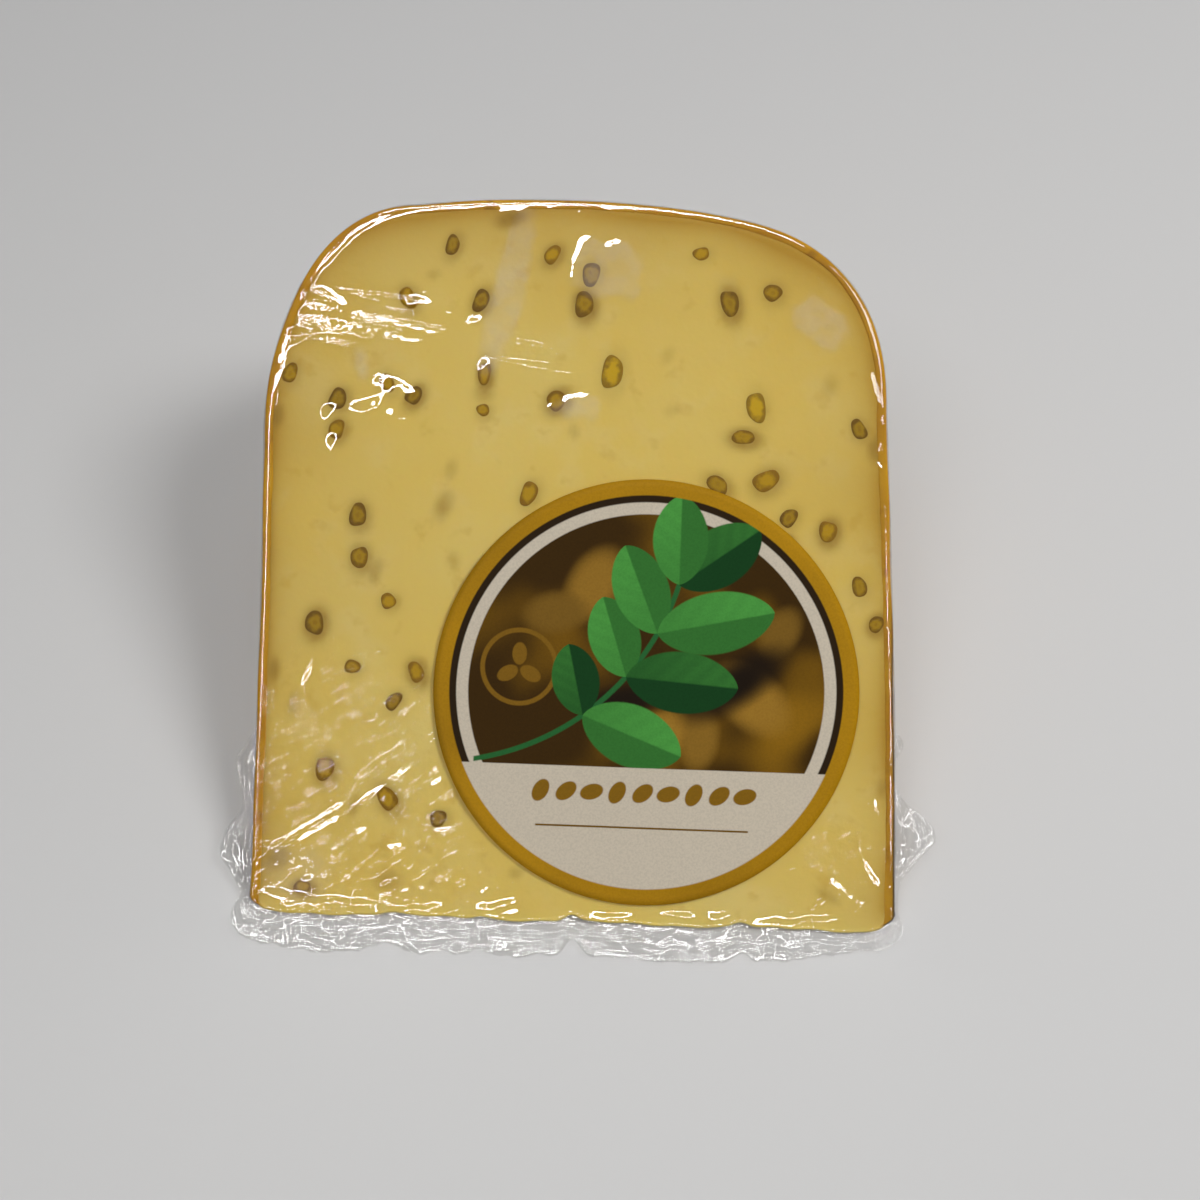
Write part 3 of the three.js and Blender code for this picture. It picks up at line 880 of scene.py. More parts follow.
UPPER_FOLDS = [
    # The long fold that leaves the left edge near the thin end, and its companions.
    Fold((-53.6, 8.3), (-39.5, 17.3), (-25, 27.9), 0.8, 0.50),
    Fold((-51, 6), (-40, 12), (-30, 20), 0.75, 0.32),
    Fold((-38.5, 19.6), (-33, 23.2), (-25.4, 28.8), 0.7, 0.40),
    Fold((-37.5, 21.6), (-33, 24.8), (-27.6, 28.2), 0.65, 0.36),
    Fold((-46, 36.5), (-45, 38.5), (-44, 40.5), 0.8, 0.4),
    # Creases from the label down to the thin edge.
    Fold((-17.0, 22), (-18.6, 14), (-19.8, 7), 0.75, 0.46),
    Fold((-19.0, 20), (-20.4, 12), (-21.6, 6), 0.7, 0.36),
    Fold((-8.2, 10), (-9.6, 6), (-10.8, 2), 0.75, 0.4),
    Fold((-6.0, 9.5), (-7.2, 6), (-8, 2), 0.7, 0.34),
    # Streaks pulled in from the left shoulder.
    Fold((-49, 99.9), (-38, 98.1), (-22, 94.6), 0.6, 0.42),
    Fold((-49, 98.0), (-38, 96.4), (-23, 92.8), 0.6, 0.40),
    Fold((-48.5, 102.9), (-45.5, 101.9), (-41, 99.6), 0.75, 0.5),
    Fold((-50.5, 96.6), (-45, 96), (-37, 93.8), 0.8, 0.5),
    Fold((-49, 93.6), (-45, 95.2), (-40.5, 94.6), 0.75, 0.48),
    Fold((-43, 97.0), (-37, 95.0), (-29, 94.2), 0.6, 0.36),
    # Fine drag lines at the right of the label.
    Fold((43, 21), (46.0, 13), (51, 6), 0.9, 0.36),
    Fold((37, 15), (43, 9), (49, 4.5), 0.8, 0.34),
    Fold((46, 28), (48.5, 20), (52, 12), 0.8, 0.3),
    Fold((49.8, 44), (50.6, 36), (51, 28), 0.8, 0.3),
    # Along the right shoulder.
    Fold((20, 113.6), (31, 110.4), (38, 105), 0.7, 0.3),
    Fold((44.5, 93), (46.8, 86), (46.9, 78), 0.7, 0.3),
]


def short_folds():
    """Short creases at the lower left, beside the long fold: their middles follow a golden-ratio
    scatter, and each turns a little from the long fold's direction."""
    folds = []
    for k in range(16):
        across = -50 + 30 * (0.618 * k % 1)
        out = 5 + 32 * ((0.755 * k + 0.3) % 1)
        turn = math.radians(34 + 16 * math.sin(3 * k))
        half = 1.5 + 1.4 * (0.32 * k % 1)
        aside, ahead = half * math.cos(turn), half * math.sin(turn)
        start, end = (across - aside, out - ahead), (across + aside, out + ahead)
        folds.append(Fold(start, (across + 0.15, out - 0.15), end, 0.62, 0.24 + 0.10 * math.sin(k)))
    return folds


AIR_PATCHES = [
    AirPatch(1.4, 107.8, 6, 4.6, -12, 0.20, 0.45),
    AirPatch(37.0, 100.3, 4.9, 3.1, -38, 0.09, 0.45),
    AirPatch(-14.6, 103.5, 2.6, 12.5, -12, 0.07, 0.5),
    AirPatch(-38.5, 91, 0.9, 2.4, 8, 0.12, 0.6),
    AirPatch(-46, 6.5, 5.5, 4.5, 0, 0.22, 0.3),
    AirPatch(-2.0, 85, 2.8, 2.1, 0, 0.34, 0.5),
    AirPatch(-6.5, 84.5, 1.4, 1.0, 30, 0.26, 0.2),
    # Small clear blisters below the left shoulder, whose borders glint as loops.
    AirPatch(-31.2, 85.6, 4.0, 1.7, -32, 0.50),
    AirPatch(-34.5, 82.0, 4.4, 1.4, -18, 0.46),
    AirPatch(-35.8, 84.0, 1.6, 1.0, 20, 0.36),
    AirPatch(-42.6, 81.8, 1.7, 1.2, -50, 0.40),
    AirPatch(-41.9, 77.0, 1.1, 1.6, 20, 0.36),
    AirPatch(-28.6, 100.6, 2.0, 1.1, -25, 0.40),
    AirPatch(-17.2, 91.0, 1.2, 0.9, -25, 0.30),
    AirPatch(-19.6, 98.2, 1.2, 0.8, 0, 0.30),
    # Blisters along the thin edge and beside the label.
    AirPatch(-41, 4.4, 8.5, 1.7, -4, 0.46), AirPatch(-27.5, 3.2, 5.6, 1.5, 8, 0.44),
    AirPatch(-13, 4.2, 3.2, 1.5, 12, 0.40), AirPatch(6, 2.8, 3.4, 1.2, 4, 0.34),
    AirPatch(15.5, 4.0, 4.2, 1.4, -8, 0.40), AirPatch(24, 4.0, 2.0, 1.7, 0, 0.40),
    AirPatch(37, 3.4, 7, 1.4, 6, 0.40), AirPatch(-28.5, 31.5, 0.9, 6.4, -6, 0.34),
    AirPatch(-31.5, 25.6, 4.4, 1.0, 38, 0.34), AirPatch(47.5, 8.5, 2.6, 1.2, -50, 0.34),
    AirPatch(-22.5, 24.5, 1.0, 2.2, -50, 0.3), AirPatch(-30, 13, 2.0, 1.1, 40, 0.3),
]


def rim_ridge(across, out):
    """The ridge where the film bridges from the cut to the rim: a wavy line just inside the
    outline, over the thick half."""
    distance = edge_distance(across, out)
    line = 2.1 + 0.5 * waves(across, out, 13, 33) + 0.25 * waves(across, out, 5, 34)
    height = 0.12 * bell(distance, line, 0.6) * step(out, 62, 84)
    return height * (0.75 + 0.4 * waves(across, out, 8, 35))


def streak_masks(across, out):
    """Where the film is drawn into streaks: long ones below the left shoulder, and short ones by
    the long fold at the lower left and, fainter, at the lower right."""
    shoulder = 0.20 * bell(across, -38, 13) * bell(out, 98.5, 4.5)
    shoulder = shoulder + 0.12 * bell(across, -8, 9) * bell(out, 92, 5)
    lower = 0.40 * bell(across, -37, 17) * bell(out, 20, 17)
    lower = lower + 0.18 * bell(across, 44, 9) * bell(out, 13, 11)
    return [shoulder, lower]


def film_material():
    """Clear film: it passes light and mirrors a share of it, which grows as the fifth power of
    how far the film turns from the eye. Crinkles catch the light where the film is loose, short
    dashes follow the drawn streaks, trapped air greys it a little, and a grey tint paints shade
    along the skirt's creases."""
    material, tree, output = new_material("clear_film")
    creases = object_noise(tree, 0.0048, 2.0, kind="RIDGED_MULTIFRACTAL", roughness=0.4)
    crumpled = number(tree, "MULTIPLY", creases, painted(tree, "loose"))
    fine = number(tree, "MULTIPLY", object_noise(tree, 0.0021, 2), 0.08)
    height = number(tree, "ADD", crumpled, fine)
    cut_map = add_node(tree, "ShaderNodeUVMap", uv_map="cut").outputs[0]
    for k, (turn, length, spacing) in enumerate(STREAKS):
        drawn = add_node(tree, "ShaderNodeMapping", {
            "Vector": cut_map, "Rotation": (0, 0, math.radians(turn)),
            "Scale": (length / MAP_SCALE, spacing / MAP_SCALE, 1),
        }, vector_type="TEXTURE").outputs[0]
        lines = add_node(
            tree, "ShaderNodeTexNoise", {"Vector": drawn, "Scale": 1.0, "Detail": 1.5, "Roughness": 0.4},
        ).outputs[0]
        dashes = number(tree, "MULTIPLY", spread(tree, lines, 0.54, 0.66), painted(tree, f"streak_{k}"))
        height = number(tree, "ADD", height, dashes)
    relief = {"Strength": 1.0, "Distance": CRINKLE_DEPTH, "Height": height}
    crinkle = add_node(tree, "ShaderNodeBump", relief)
    mirror = add_node(tree, "ShaderNodeBsdfGlossy", {"Roughness": 0.04, "Normal": crinkle.outputs[0]})
    # Painted shade along the skirt's creases tints what shows through.
    through = blend_colour(tree, painted(tree, "folded"), FILM_CLEAR, FILM_CREASE_SHADE)
    clear = add_node(tree, "ShaderNodeBsdfTransparent", {"Color": through})
    haze = add_node(tree, "ShaderNodeBsdfDiffuse", {"Color": FILM_HAZE})
    cloudy = spread(tree, object_noise(tree, 0.003, 3), 0.35, 0.65, 0.09, 0.17)
    milky = number(tree, "MULTIPLY_ADD", painted(tree, "air"), cloudy, 0.002)
    body = add_node(tree, "ShaderNodeMixShader", {0: milky, 1: clear.outputs[0], 2: haze.outputs[0]})
    facing = add_node(tree, "ShaderNodeLayerWeight", {"Blend": 0.5, "Normal": crinkle.outputs[0]})
    grazing = number(tree, "POWER", facing.outputs["Facing"], 5.0)
    share = number(tree, "MULTIPLY_ADD", grazing, MIRROR_GRAZING, MIRROR_FACING)
    shader = add_node(tree, "ShaderNodeMixShader", {0: share, 1: body.outputs[0], 2: mirror.outputs[0]})
    tree.links.new(shader.outputs[0], output.inputs[0])
    return material


def under_label(across, out):
    """1 under the label, where the film is stuck flat, and 0 clear of it."""
    distance = np.hypot(across - LABEL_ACROSS, out - LABEL_OUT)
    return 1 - step(distance, LABEL_RADIUS - 0.2, LABEL_RADIUS + 1.6)


def looseness(across, out):
    """How crinkled the film is: most at the lower left, some along the edges, little elsewhere."""
    corner = 0.42 * bell(across, -40, 24) * bell(out, 10, 21)
    thin = 0.65 * bell(out, 0, 7)
    streaks = 0.25 * bell(across, -45, 6) * bell(out, 97, 3)
    blister = 0.6 * bell(across, -34, 7) * bell(out, 83, 5)
    right = 0.6 * bell(across, 50, 6) * (1 - step(out, 70, 100))
    top = 0.12 * bell(out, 112, 8) * bell(across, 16, 26)
    patch = np.clip(corner + thin + streaks + blister + right + top, 0, 1)
    return (0.07 + patch) * (0.65 + 0.35 * waves(across, out, 12, 41))


def film_lift(across, out, upper):
    """Height of the film over a cut: its cling, folds, blisters, a bump over each seed, and
    crinkles, all pressed flat under the label."""
    lift = np.full(np.shape(across), sizes().cling / MM)
    loose = looseness(across, out)
    if upper:
        extra = sum(fold.lift(across, out) for fold in UPPER_FOLDS + short_folds())
        extra = extra + sum(patch.height * patch.share(across, out) for patch in AIR_PATCHES)
        extra = extra + rim_ridge(across, out) + 0.05 * waves(across, out, 19, 42)
        extra = extra + 0.22 * loose * np.abs(waves(across, out, 4.2, 43))
        for one in SEEDS:
            if one.upper:
                extra = extra + 0.05 * np.exp(-((one.reach(across, out) / 1.3) ** 4))
        return lift + extra * (1 - under_label(across, out))
    return lift - 0.05 + 0.10 * np.abs(waves(across, out, 7, 47)) * (0.3 + 0.7 * loose)


def seam_loop(ring, away):
    """The seam: half way up the flat faces and the rim, and low along the thin edge."""
    loop = ring.moved(away)
    half = WEDGE_ANGLE / 2
    arm = loop[:, 1]
    return np.stack([loop[:, 0], arm * math.cos(half), arm * math.sin(half)], axis=1)


def wall_folds(ring, share):
    """How far the film's wall stands off: gathers that grow towards the seam."""
    gathers = np.abs(ring.ripples(9, 53)) + 0.6 * np.abs(ring.ripples(3.1, 54))
    return 0.28 * gathers * share


def film_web(name, ring, upper, material):
    """One web: a patch over its cut, a rounded corner, and the wall down or up to the seam."""
    cling = sizes().cling / MM
    local = np.maximum(ring.place[:, 1] * WEDGE_ANGLE, 0.4)
    rounding = np.minimum(1.0, 0.42 * local) + cling
    turn = WEDGE_ANGLE if upper else 0.0
    loop = ring.moved(cling - rounding)
    patch = ring.patch(loop)
    across, out = patch[..., 0].ravel(), patch[..., 1].ravel()
    lift = film_lift(across, out, upper)
    top = on_cut(across, out, lift, upper)
    border = ring.border()
    edge_lift = lift[border]
    corner = corner_rings(ring, cling, edge_lift, rounding, 6, upper)[1:]
    seam = seam_loop(ring, cling)
    wall = wall_rings(ring, corner[-1], seam, turn, WEDGE_ANGLE / 2, 11)
    rings = [*corner, *wall, seam]
    outward = np.concatenate([ring.facing, np.zeros((ring.count, 1))], axis=1)
    for k, one in enumerate(rings):
        share = max(k - len(corner) + 1, 0) / (len(wall) + 1)
        stand = wall_folds(ring, share * (1 - share) * 2.6) * (1 - ring.thin)
        rings[k] = one + outward * stand[:, None]
    rows = np.array(rings)
    points, quads = sleeve(rows, start=len(top))
    first_row = len(top) + np.arange(ring.count)
    faces = np.concatenate([patch_quads(ring), strip_quads(border, first_row), quads])
    if not upper:
        faces = faces[:, ::-1]
    node = "film_upper" if upper else "film_lower"
    piece = make_piece(name, to_frame(np.concatenate([top, points])), faces, material, [node])
    clear = 1 - under_label(across, out) if upper else 0.0
    loose = looseness(across, out) * (clear if upper else 0.5)
    wall_loose = np.tile(0.05 + 0.25 * bell(ring.place[:, 1], 0, 16), len(rows))
    paint(piece, "loose", np.concatenate([loose, wall_loose]))
    if upper:
        air = sum(blister.haze * blister.share(across, out) for blister in AIR_PATCHES) * clear
    else:
        air = 0.25 * step(waves(across, out, 24, 59), 0.4, 0.8)
    paint(piece, "air", np.concatenate([air, np.zeros(len(points))]))
    for k, mask in enumerate(streak_masks(across, out)):
        paint(piece, f"streak_{k}", np.concatenate([mask * clear, np.zeros(len(points))]))
    paint(piece, "folded", np.zeros(len(across) + len(points)))
    wall_across, wall_out = (np.tile(place, len(rows)) for place in ring.place.T)
    all_across, all_out = np.concatenate([across, wall_across]), np.concatenate([out, wall_out])
    paint_map(piece, "cut", all_across / MAP_SCALE, all_out / MAP_SCALE)
    wall_thickness = piece.modifiers.new("film thickness", "SOLIDIFY")
    wall_thickness.thickness = sizes().film
    wall_thickness.offset = 1.0


SKIRT_ROWS = 21  # rows from the seam to the skirt's edge
SKIRT_NOTCHES = (-30.5, -15.5, 27.5)  # places across where the skirt is pinched
SKIRT_BOUNDS = (-53, -30.5, -15.5, -3.2, 3.0, 27.5, 50.5)  # ends of its pillows


def skirt_width(ring):
    """Width of the sealed skirt: narrow round the thick half, two bulges at the left, a band
    along the thin edge that narrows at its notches, and an ear at the right."""
    across, out = ring.place.T
    left = 4.2 * bell(out, 24.5, 5.2) + 5.2 * bell(out, 11, 6) + 0.8 * bell(out, 36, 5)
    right = 1.6 * bell(out, 47, 3.2) + 2.5 * bell(out, 32, 3.4) + 7.2 * bell(out, 16.5, 5.4)
    side = np.where(across < 0, left, right)
    band = 5.2 - 2.6 * step(across, 27, 50) - 2.0 * bell(across, 0, 1.8)
    band = band - 0.7 * sum(bell(across, notch, 1.6) for notch in SKIRT_NOTCHES)
    width = side * (1 - ring.thin) + band * ring.thin
    ripple = 0.35 * ring.ripples(6.5, 61) + 0.2 * ring.ripples(2.6, 62)
    return np.maximum(0.7 + width + ripple * step(width, 0.5, 3), 0.5)


def skirt_cells(ring):
    """Half thickness of the skirt's pillows, each a smooth arch between two notches."""
    across, out = ring.place.T
    arch = np.zeros(ring.count)
    for low, high in zip(SKIRT_BOUNDS, SKIRT_BOUNDS[1:]):
        share = np.clip((across - low) / (high - low), 0, 1)
        arch = np.maximum(arch, np.clip(4 * share * (1 - share), 0, 1) ** 0.35)
    side = 0.7 * bell(out, 16, 9) + 0.3
    return 0.95 * arch * ring.thin + side * (1 - ring.thin)


def skirt_phase(ring, share):
    """The skirt's creases run along its edge and wander: a sine of the way out, from -1 to 1."""
    wander = 0.16 * ring.ripples(21, 68) + 0.05 * ring.ripples(5, 69)
    return np.sin(2 * math.pi * (2.1 * share + wander))


def skirt_relief(ring, share, width):
    """Height of the skirt's creases: lines along its edge, and cross gathers."""
    lines = skirt_phase(ring, share) * step(width, 1.5, 4)
    gathers = waves(ring.run, share * width * 1.3, 4.4, 67) * step(share, 0, 0.25)
    return (0.17 * lines + 0.22 * gathers) * step(width, 1, 3)


def build_skirt(material):
    """A flattened tube round the seam: out along its upper side to a rolled edge, and back along
    its lower side, with the pillows between the two."""
    ring = Ring(330, 300)
    start = seam_loop(ring, sizes().cling / MM)
    half = WEDGE_ANGLE / 2
    rim = np.maximum(ring.facing[:, 1], 0)
    front = np.minimum(ring.facing[:, 1], 0)
    outward = np.stack([ring.facing[:, 0], rim * math.cos(half) + front, rim * math.sin(half)], axis=1)
    width = skirt_width(ring)
    thick = skirt_cells(ring)
    droop = np.minimum(start[:, 2] - GROUND - 0.15, 1.4)
    floor = GROUND + 0.06
    upper_rows, lower_rows = [], []
    for share in np.linspace(0, 1, SKIRT_ROWS):
        line = start + outward * (share * width)[:, None]
        line[:, 2] += -0.55 * droop * share**1.5 + skirt_relief(ring, share, width)
        pillow = thick * math.sin(math.pi * min(share * 1.1, 1.0)) ** 0.6
        rolled = 0.24 * math.sqrt(max(1 - ((share - 0.95) / 0.05) ** 2, 0))
        upper, lower = line.copy(), line.copy()
        upper[:, 2] = np.maximum(upper[:, 2] + pillow + rolled + 0.03 + 0.25 * (1 - share), floor + 0.1)
        lower[:, 2] = np.maximum(lower[:, 2] - 0.45 * pillow - 0.5 * rolled - 0.03, floor)
        upper_rows.append(upper)
        lower_rows.append(lower)
    rows = np.array([*upper_rows, *lower_rows[::-1]])
    points, faces = sleeve(rows, closed_round=True)
    piece = make_piece("film_skirt", to_frame(points), faces, material, [])
    paint(piece, "loose", np.full(len(points), 0.12))
    paint(piece, "air", np.tile(0.10 * step(width, 1, 4), len(rows)))
    paint(piece, "streak_0", np.tile(0.26 * step(width, 1, 3), len(rows)))
    paint(piece, "streak_1", np.zeros(len(points)))
    shares = np.concatenate([np.linspace(0, 1, SKIRT_ROWS), np.linspace(1, 0, SKIRT_ROWS)])[:, None]
    # Painted shade: darker lines along the skirt's creases.
    folded = 0.35 + 0.65 * np.abs(skirt_phase(ring, shares))
    paint(piece, "folded", (folded * step(width, 1, 3)).ravel())
    # The streaks run along the skirt: the map is turned so that they follow its edge.
    turn = math.radians(STREAKS[0][0])
    along, aside = np.broadcast_arrays(ring.run[None, :] / MAP_SCALE, shares * width / SKIRT_MAP_SCALE)
    paint_map(
        piece, "cut", (along * math.cos(turn) - aside * math.sin(turn)).ravel(),
        (along * math.sin(turn) + aside * math.cos(turn)).ravel(),
    )


# ---- paper label ----

class LabelPrint:
    """The label's print, drawn with nodes on the label's own map: its middle is the origin and
    its edge is at radius 1. The design is plain: rings, a sprig of oval leaves, a row of seeds."""

    def __init__(self, tree):
        self.tree = tree
        uv = add_node(tree, "ShaderNodeUVMap", uv_map="print").outputs[0]
        self.place = add_node(tree, "ShaderNodeMapping", {
            "Vector": uv, "Location": (-1, -1, 0), "Scale": (2, 2, 1),
        }).outputs[0]
        split = add_node(tree, "ShaderNodeSeparateXYZ", {0: self.place})
        self.x, self.y = split.outputs[0], split.outputs[1]
        length = add_node(tree, "ShaderNodeVectorMath", {0: self.place}, operation="LENGTH")
        self.radius = length.outputs["Value"]

    def inside(self, value, limit, soft=0.004):
        """1 where the value is below the limit, with a soft print edge."""
        return spread(self.tree, value, limit - soft, limit + soft, 1.0, 0.0)

    def beyond(self, radius):
        """1 outside a circle about the label's middle."""
        return self.inside(number(self.tree, "SUBTRACT", radius, self.radius), 0.0)

    def circle_line(self, middle, radius, half):
        """1 on a line of this half width along a circle."""
        ends = {0: self.place, 1: (*middle, 0)}
        reach = add_node(self.tree, "ShaderNodeVectorMath", ends, operation="DISTANCE").outputs["Value"]
        away = number(self.tree, "SUBTRACT", reach, radius)
        return self.inside(number(self.tree, "ABSOLUTE", away), half)

    def both(self, *masks):
        """1 where every mask is 1: their product."""
        product = masks[0]
        for mask in masks[1:]:
            product = number(self.tree, "MULTIPLY", product, mask)
        return product

    def local(self, x, y, turn, length, width):
        """The print's coordinates in a shape's own frame: 0 to 1 along it, -1 to 1 across it."""
        turned = add_node(self.tree, "ShaderNodeMapping", {
            "Vector": self.place, "Location": (x, y, 0), "Rotation": (0, 0, math.radians(turn)),
            "Scale": (length, width, 1),
        }, vector_type="TEXTURE")
        split = add_node(self.tree, "ShaderNodeSeparateXYZ", {0: turned.outputs[0]})
        return split.outputs[0], split.outputs[1]

    def leaf(self, under, x, y, turn, length, width, light, dark):
        """An oval leaf laid over the colour below it. Its half width follows a parabola along it,
        raised to the power 0.62; its two halves have two tones, as a leaf folded at its midrib."""
        tree = self.tree
        along, aside = self.local(x, y, turn, length, width)
        arch = number(tree, "MULTIPLY", along, number(tree, "SUBTRACT", 1.0, along))
        arch = number(tree, "MAXIMUM", number(tree, "MULTIPLY", arch, 4.0), 0.0)
        half = number(tree, "POWER", arch, 0.62)
        room = number(tree, "SUBTRACT", half, number(tree, "ABSOLUTE", aside))
        mask = spread(tree, room, 0.0, 0.07)
        side = spread(tree, aside, -0.04, 0.04)
        tone = blend_colour(tree, side, rgba(dark), rgba(light))
        slant = number(tree, "MULTIPLY", number(tree, "ABSOLUTE", aside), -9.0)
        veins = number(tree, "SINE", number(tree, "MULTIPLY_ADD", along, 34.0, slant))
        veined = number(tree, "MULTIPLY", number(tree, "MULTIPLY_ADD", veins, 0.5, 0.5), 0.14)
        shaded = blend_colour(tree, veined, tone, rgba(dark))
        shade = spread(tree, along, 0.0, 0.9, 0.45, 0.0)
        deep = blend_colour(tree, shade, shaded, rgba(dark))
        return blend_colour(tree, mask, under, deep)

    def oval(self, under, x, y, turn, length, width, colour, soft=0.12):
        """A plain oval laid over the colour below it."""
        tree = self.tree
        along, aside = self.local(x, y, turn, length, width)
        squares = [number(tree, "MULTIPLY", value, value) for value in (along, aside)]
        mask = spread(tree, number(tree, "ADD", *squares), 1 - soft, 1 + soft, 1.0, 0.0)
        return blend_colour(tree, mask, under, colour)


LEAF_LIGHT = (0.075, 0.33, 0.055)
LEAF_MID = (0.035, 0.17, 0.028)
LEAF_DARK = (0.006, 0.05, 0.01)
GOLD_BROWN = (0.22, 0.11, 0.008, 1)
STEM_MIDDLE = (-1.017, 0.841)  # the stem is an arc about this place, in label radii
STEM_RADIUS = 1.2
STEM_ANGLES = (-53, -40, -28, -16)  # where its leaves grow, in degrees round that place
STEM_TOP = 0.53  # the stem ends this far above the label's middle
STEM_GREEN = (0.02, 0.13, 0.03, 1)

# The rest of the print, in label radii from the label's middle.
FIELD_RADIUS = 0.836  # the pale ring begins here,
DARK_RADIUS = 0.892  # the dark ring here,
GOLD_RADIUS = 0.925  # and the gold edge here
FIELD_FOOT = -0.356  # the printed field ends here and the bare paper begins
FIELD_GLOW = (0.27, 0.13, 0.005, 1)
FIELD_SHADE = (0.012, 0.006, 0.002, 1)
DARK_RING = (0.024, 0.012, 0.003, 1)
GOLD_DARK = (0.30, 0.15, 0.004, 1)
SEED_BROWN = (0.24, 0.12, 0.006, 1)
RULE_BROWN = (0.16, 0.08, 0.01, 1)
FLECK = (0.0, 0.0, 0.0, 1)
ROUNDEL = (-0.60, 0.10)  # middle of the small ring with three seeds,
ROUNDEL_RADIUS = 0.172  # its radius,
ROUNDEL_SEEDS = 0.062  # and how far the seeds begin from its middle
SEED_ROW = [(-0.48 + 0.12 * k, -0.475, 62 - 22 * (k % 3)) for k in range(9)]
RULE_PLACE = 0.638  # the rule lies this far below the middle
# Blurred lights and shades of the field: place, turn, half length, half width, and brightness.
FIELD_LIGHTS = [
    (-0.26, 0.50, 60, 0.17, 0.11, 0.30), (-0.44, 0.36, 10, 0.14, 0.09, 0.2),
    (0.50, -0.02, -40, 0.19, 0.12, 0.34), (0.06, -0.20, 20, 0.16, 0.10, 0.34),
    (0.26, -0.22, 80, 0.13, 0.08, 0.26), (0.62, 0.30, 60, 0.12, 0.08, 0.2),
]
FIELD_SHADES = [(0.42, 0.05, 35, 0.26, 0.10), (-0.10, -0.05, 10, 0.2, 0.08)]


def sprig_leaves():
    """Leaves in pairs along the stem and one at its tip: foot, direction, length, half width."""
    leaves = []
    for k, angle in enumerate(STEM_ANGLES):
        x = STEM_MIDDLE[0] + STEM_RADIUS * math.cos(math.radians(angle))
        y = STEM_MIDDLE[1] + STEM_RADIUS * math.sin(math.radians(angle))
        growing = angle + 90
        if k < len(STEM_ANGLES) - 1:
            leaves.append((x, y, growing + 66 - 8 * k, 0.34 + 0.05 * k, 0.115 + 0.01 * k))
            leaves.append((x, y, growing - 58 + 4 * k, 0.50 + 0.03 * k, 0.150))
        else:
            leaves.append((x, y, growing - 38, 0.46, 0.14))
            leaves.append((x, y, growing + 16, 0.42, 0.135))
    return leaves


def label_field(art):
    """The upper field: dark brown with blurred golden lights."""
    tree = art.tree
    cloudy = add_node(tree, "ShaderNodeTexNoise", {"Vector": art.place, "Scale": 2.1, "Detail": 1.0})
    glow = spread(tree, cloudy.outputs[0], 0.45, 0.75)
    warm = number(tree, "MULTIPLY", glow, spread(tree, art.x, -0.9, 0.4, 0.45, 1.0))
    field = blend_colour(tree, warm, rgba(colours().label_dark), FIELD_GLOW)
    for *oval, light in FIELD_LIGHTS:
        field = art.oval(field, *oval, (light, light * 0.52, light * 0.06, 1), soft=0.8)
    for oval in FIELD_SHADES:
        field = art.oval(field, *oval, FIELD_SHADE, soft=0.95)
    return field


def label_material():
    """Printed paper with a dull coating."""
    material, tree, output = new_material("printed_label")
    c = colours()
    art = LabelPrint(tree)
    pale = rgba(c.label_pale)
    upper = blend_colour(tree, art.circle_line(ROUNDEL, ROUNDEL_RADIUS, 0.011), label_field(art), GOLD_BROWN)
    for turn in (90, 210, 330):
        x = ROUNDEL[0] + ROUNDEL_SEEDS * math.cos(math.radians(turn))
        y = ROUNDEL[1] + ROUNDEL_SEEDS * math.sin(math.radians(turn))
        upper = art.oval(upper, x, y, turn, 0.052, 0.034, GOLD_BROWN, soft=0.2)
    upper = blend_colour(tree, art.beyond(FIELD_RADIUS), upper, pale)
    upper = blend_colour(tree, art.beyond(DARK_RADIUS), upper, DARK_RING)
    aside = number(tree, "ABSOLUTE", art.x)
    arc = art.circle_line(STEM_MIDDLE, STEM_RADIUS, 0.012)
    stem = art.both(arc, art.inside(art.y, STEM_TOP), art.inside(aside, 0.8))
    upper = blend_colour(tree, stem, upper, STEM_GREEN)
    for k, leaf in enumerate(sprig_leaves()):
        light, dark = (LEAF_LIGHT, LEAF_MID) if k % 3 else (LEAF_MID, LEAF_DARK)
        upper = art.leaf(upper, *leaf, light, dark)
    face = blend_colour(tree, art.inside(art.y, FIELD_FOOT, 0.003), upper, pale)
    for x, y, turn in SEED_ROW:
        face = art.oval(face, x, y, turn, 0.056, 0.036, SEED_BROWN, soft=0.16)
    below = number(tree, "ABSOLUTE", number(tree, "ADD", art.y, RULE_PLACE))
    rule = art.both(art.inside(below, 0.0045, 0.002), art.inside(aside, 0.5))
    face = blend_colour(tree, rule, face, RULE_BROWN)
    gold = blend_colour(tree, object_noise(tree, 0.02, 2), rgba(c.label_gold), GOLD_DARK)
    face = blend_colour(tree, art.beyond(GOLD_RADIUS), face, gold)
    grain = object_noise(tree, 0.00035, 2)
    printed = blend_colour(tree, spread(tree, grain, 0.35, 0.7, 0.0, 0.10), face, FLECK)
    opaque(tree, output, printed, 0.6, 0.02, grain, 0.2, 0.00005)
    return material


LABEL_STAND = 0.16  # distance between the film's outer face and the label


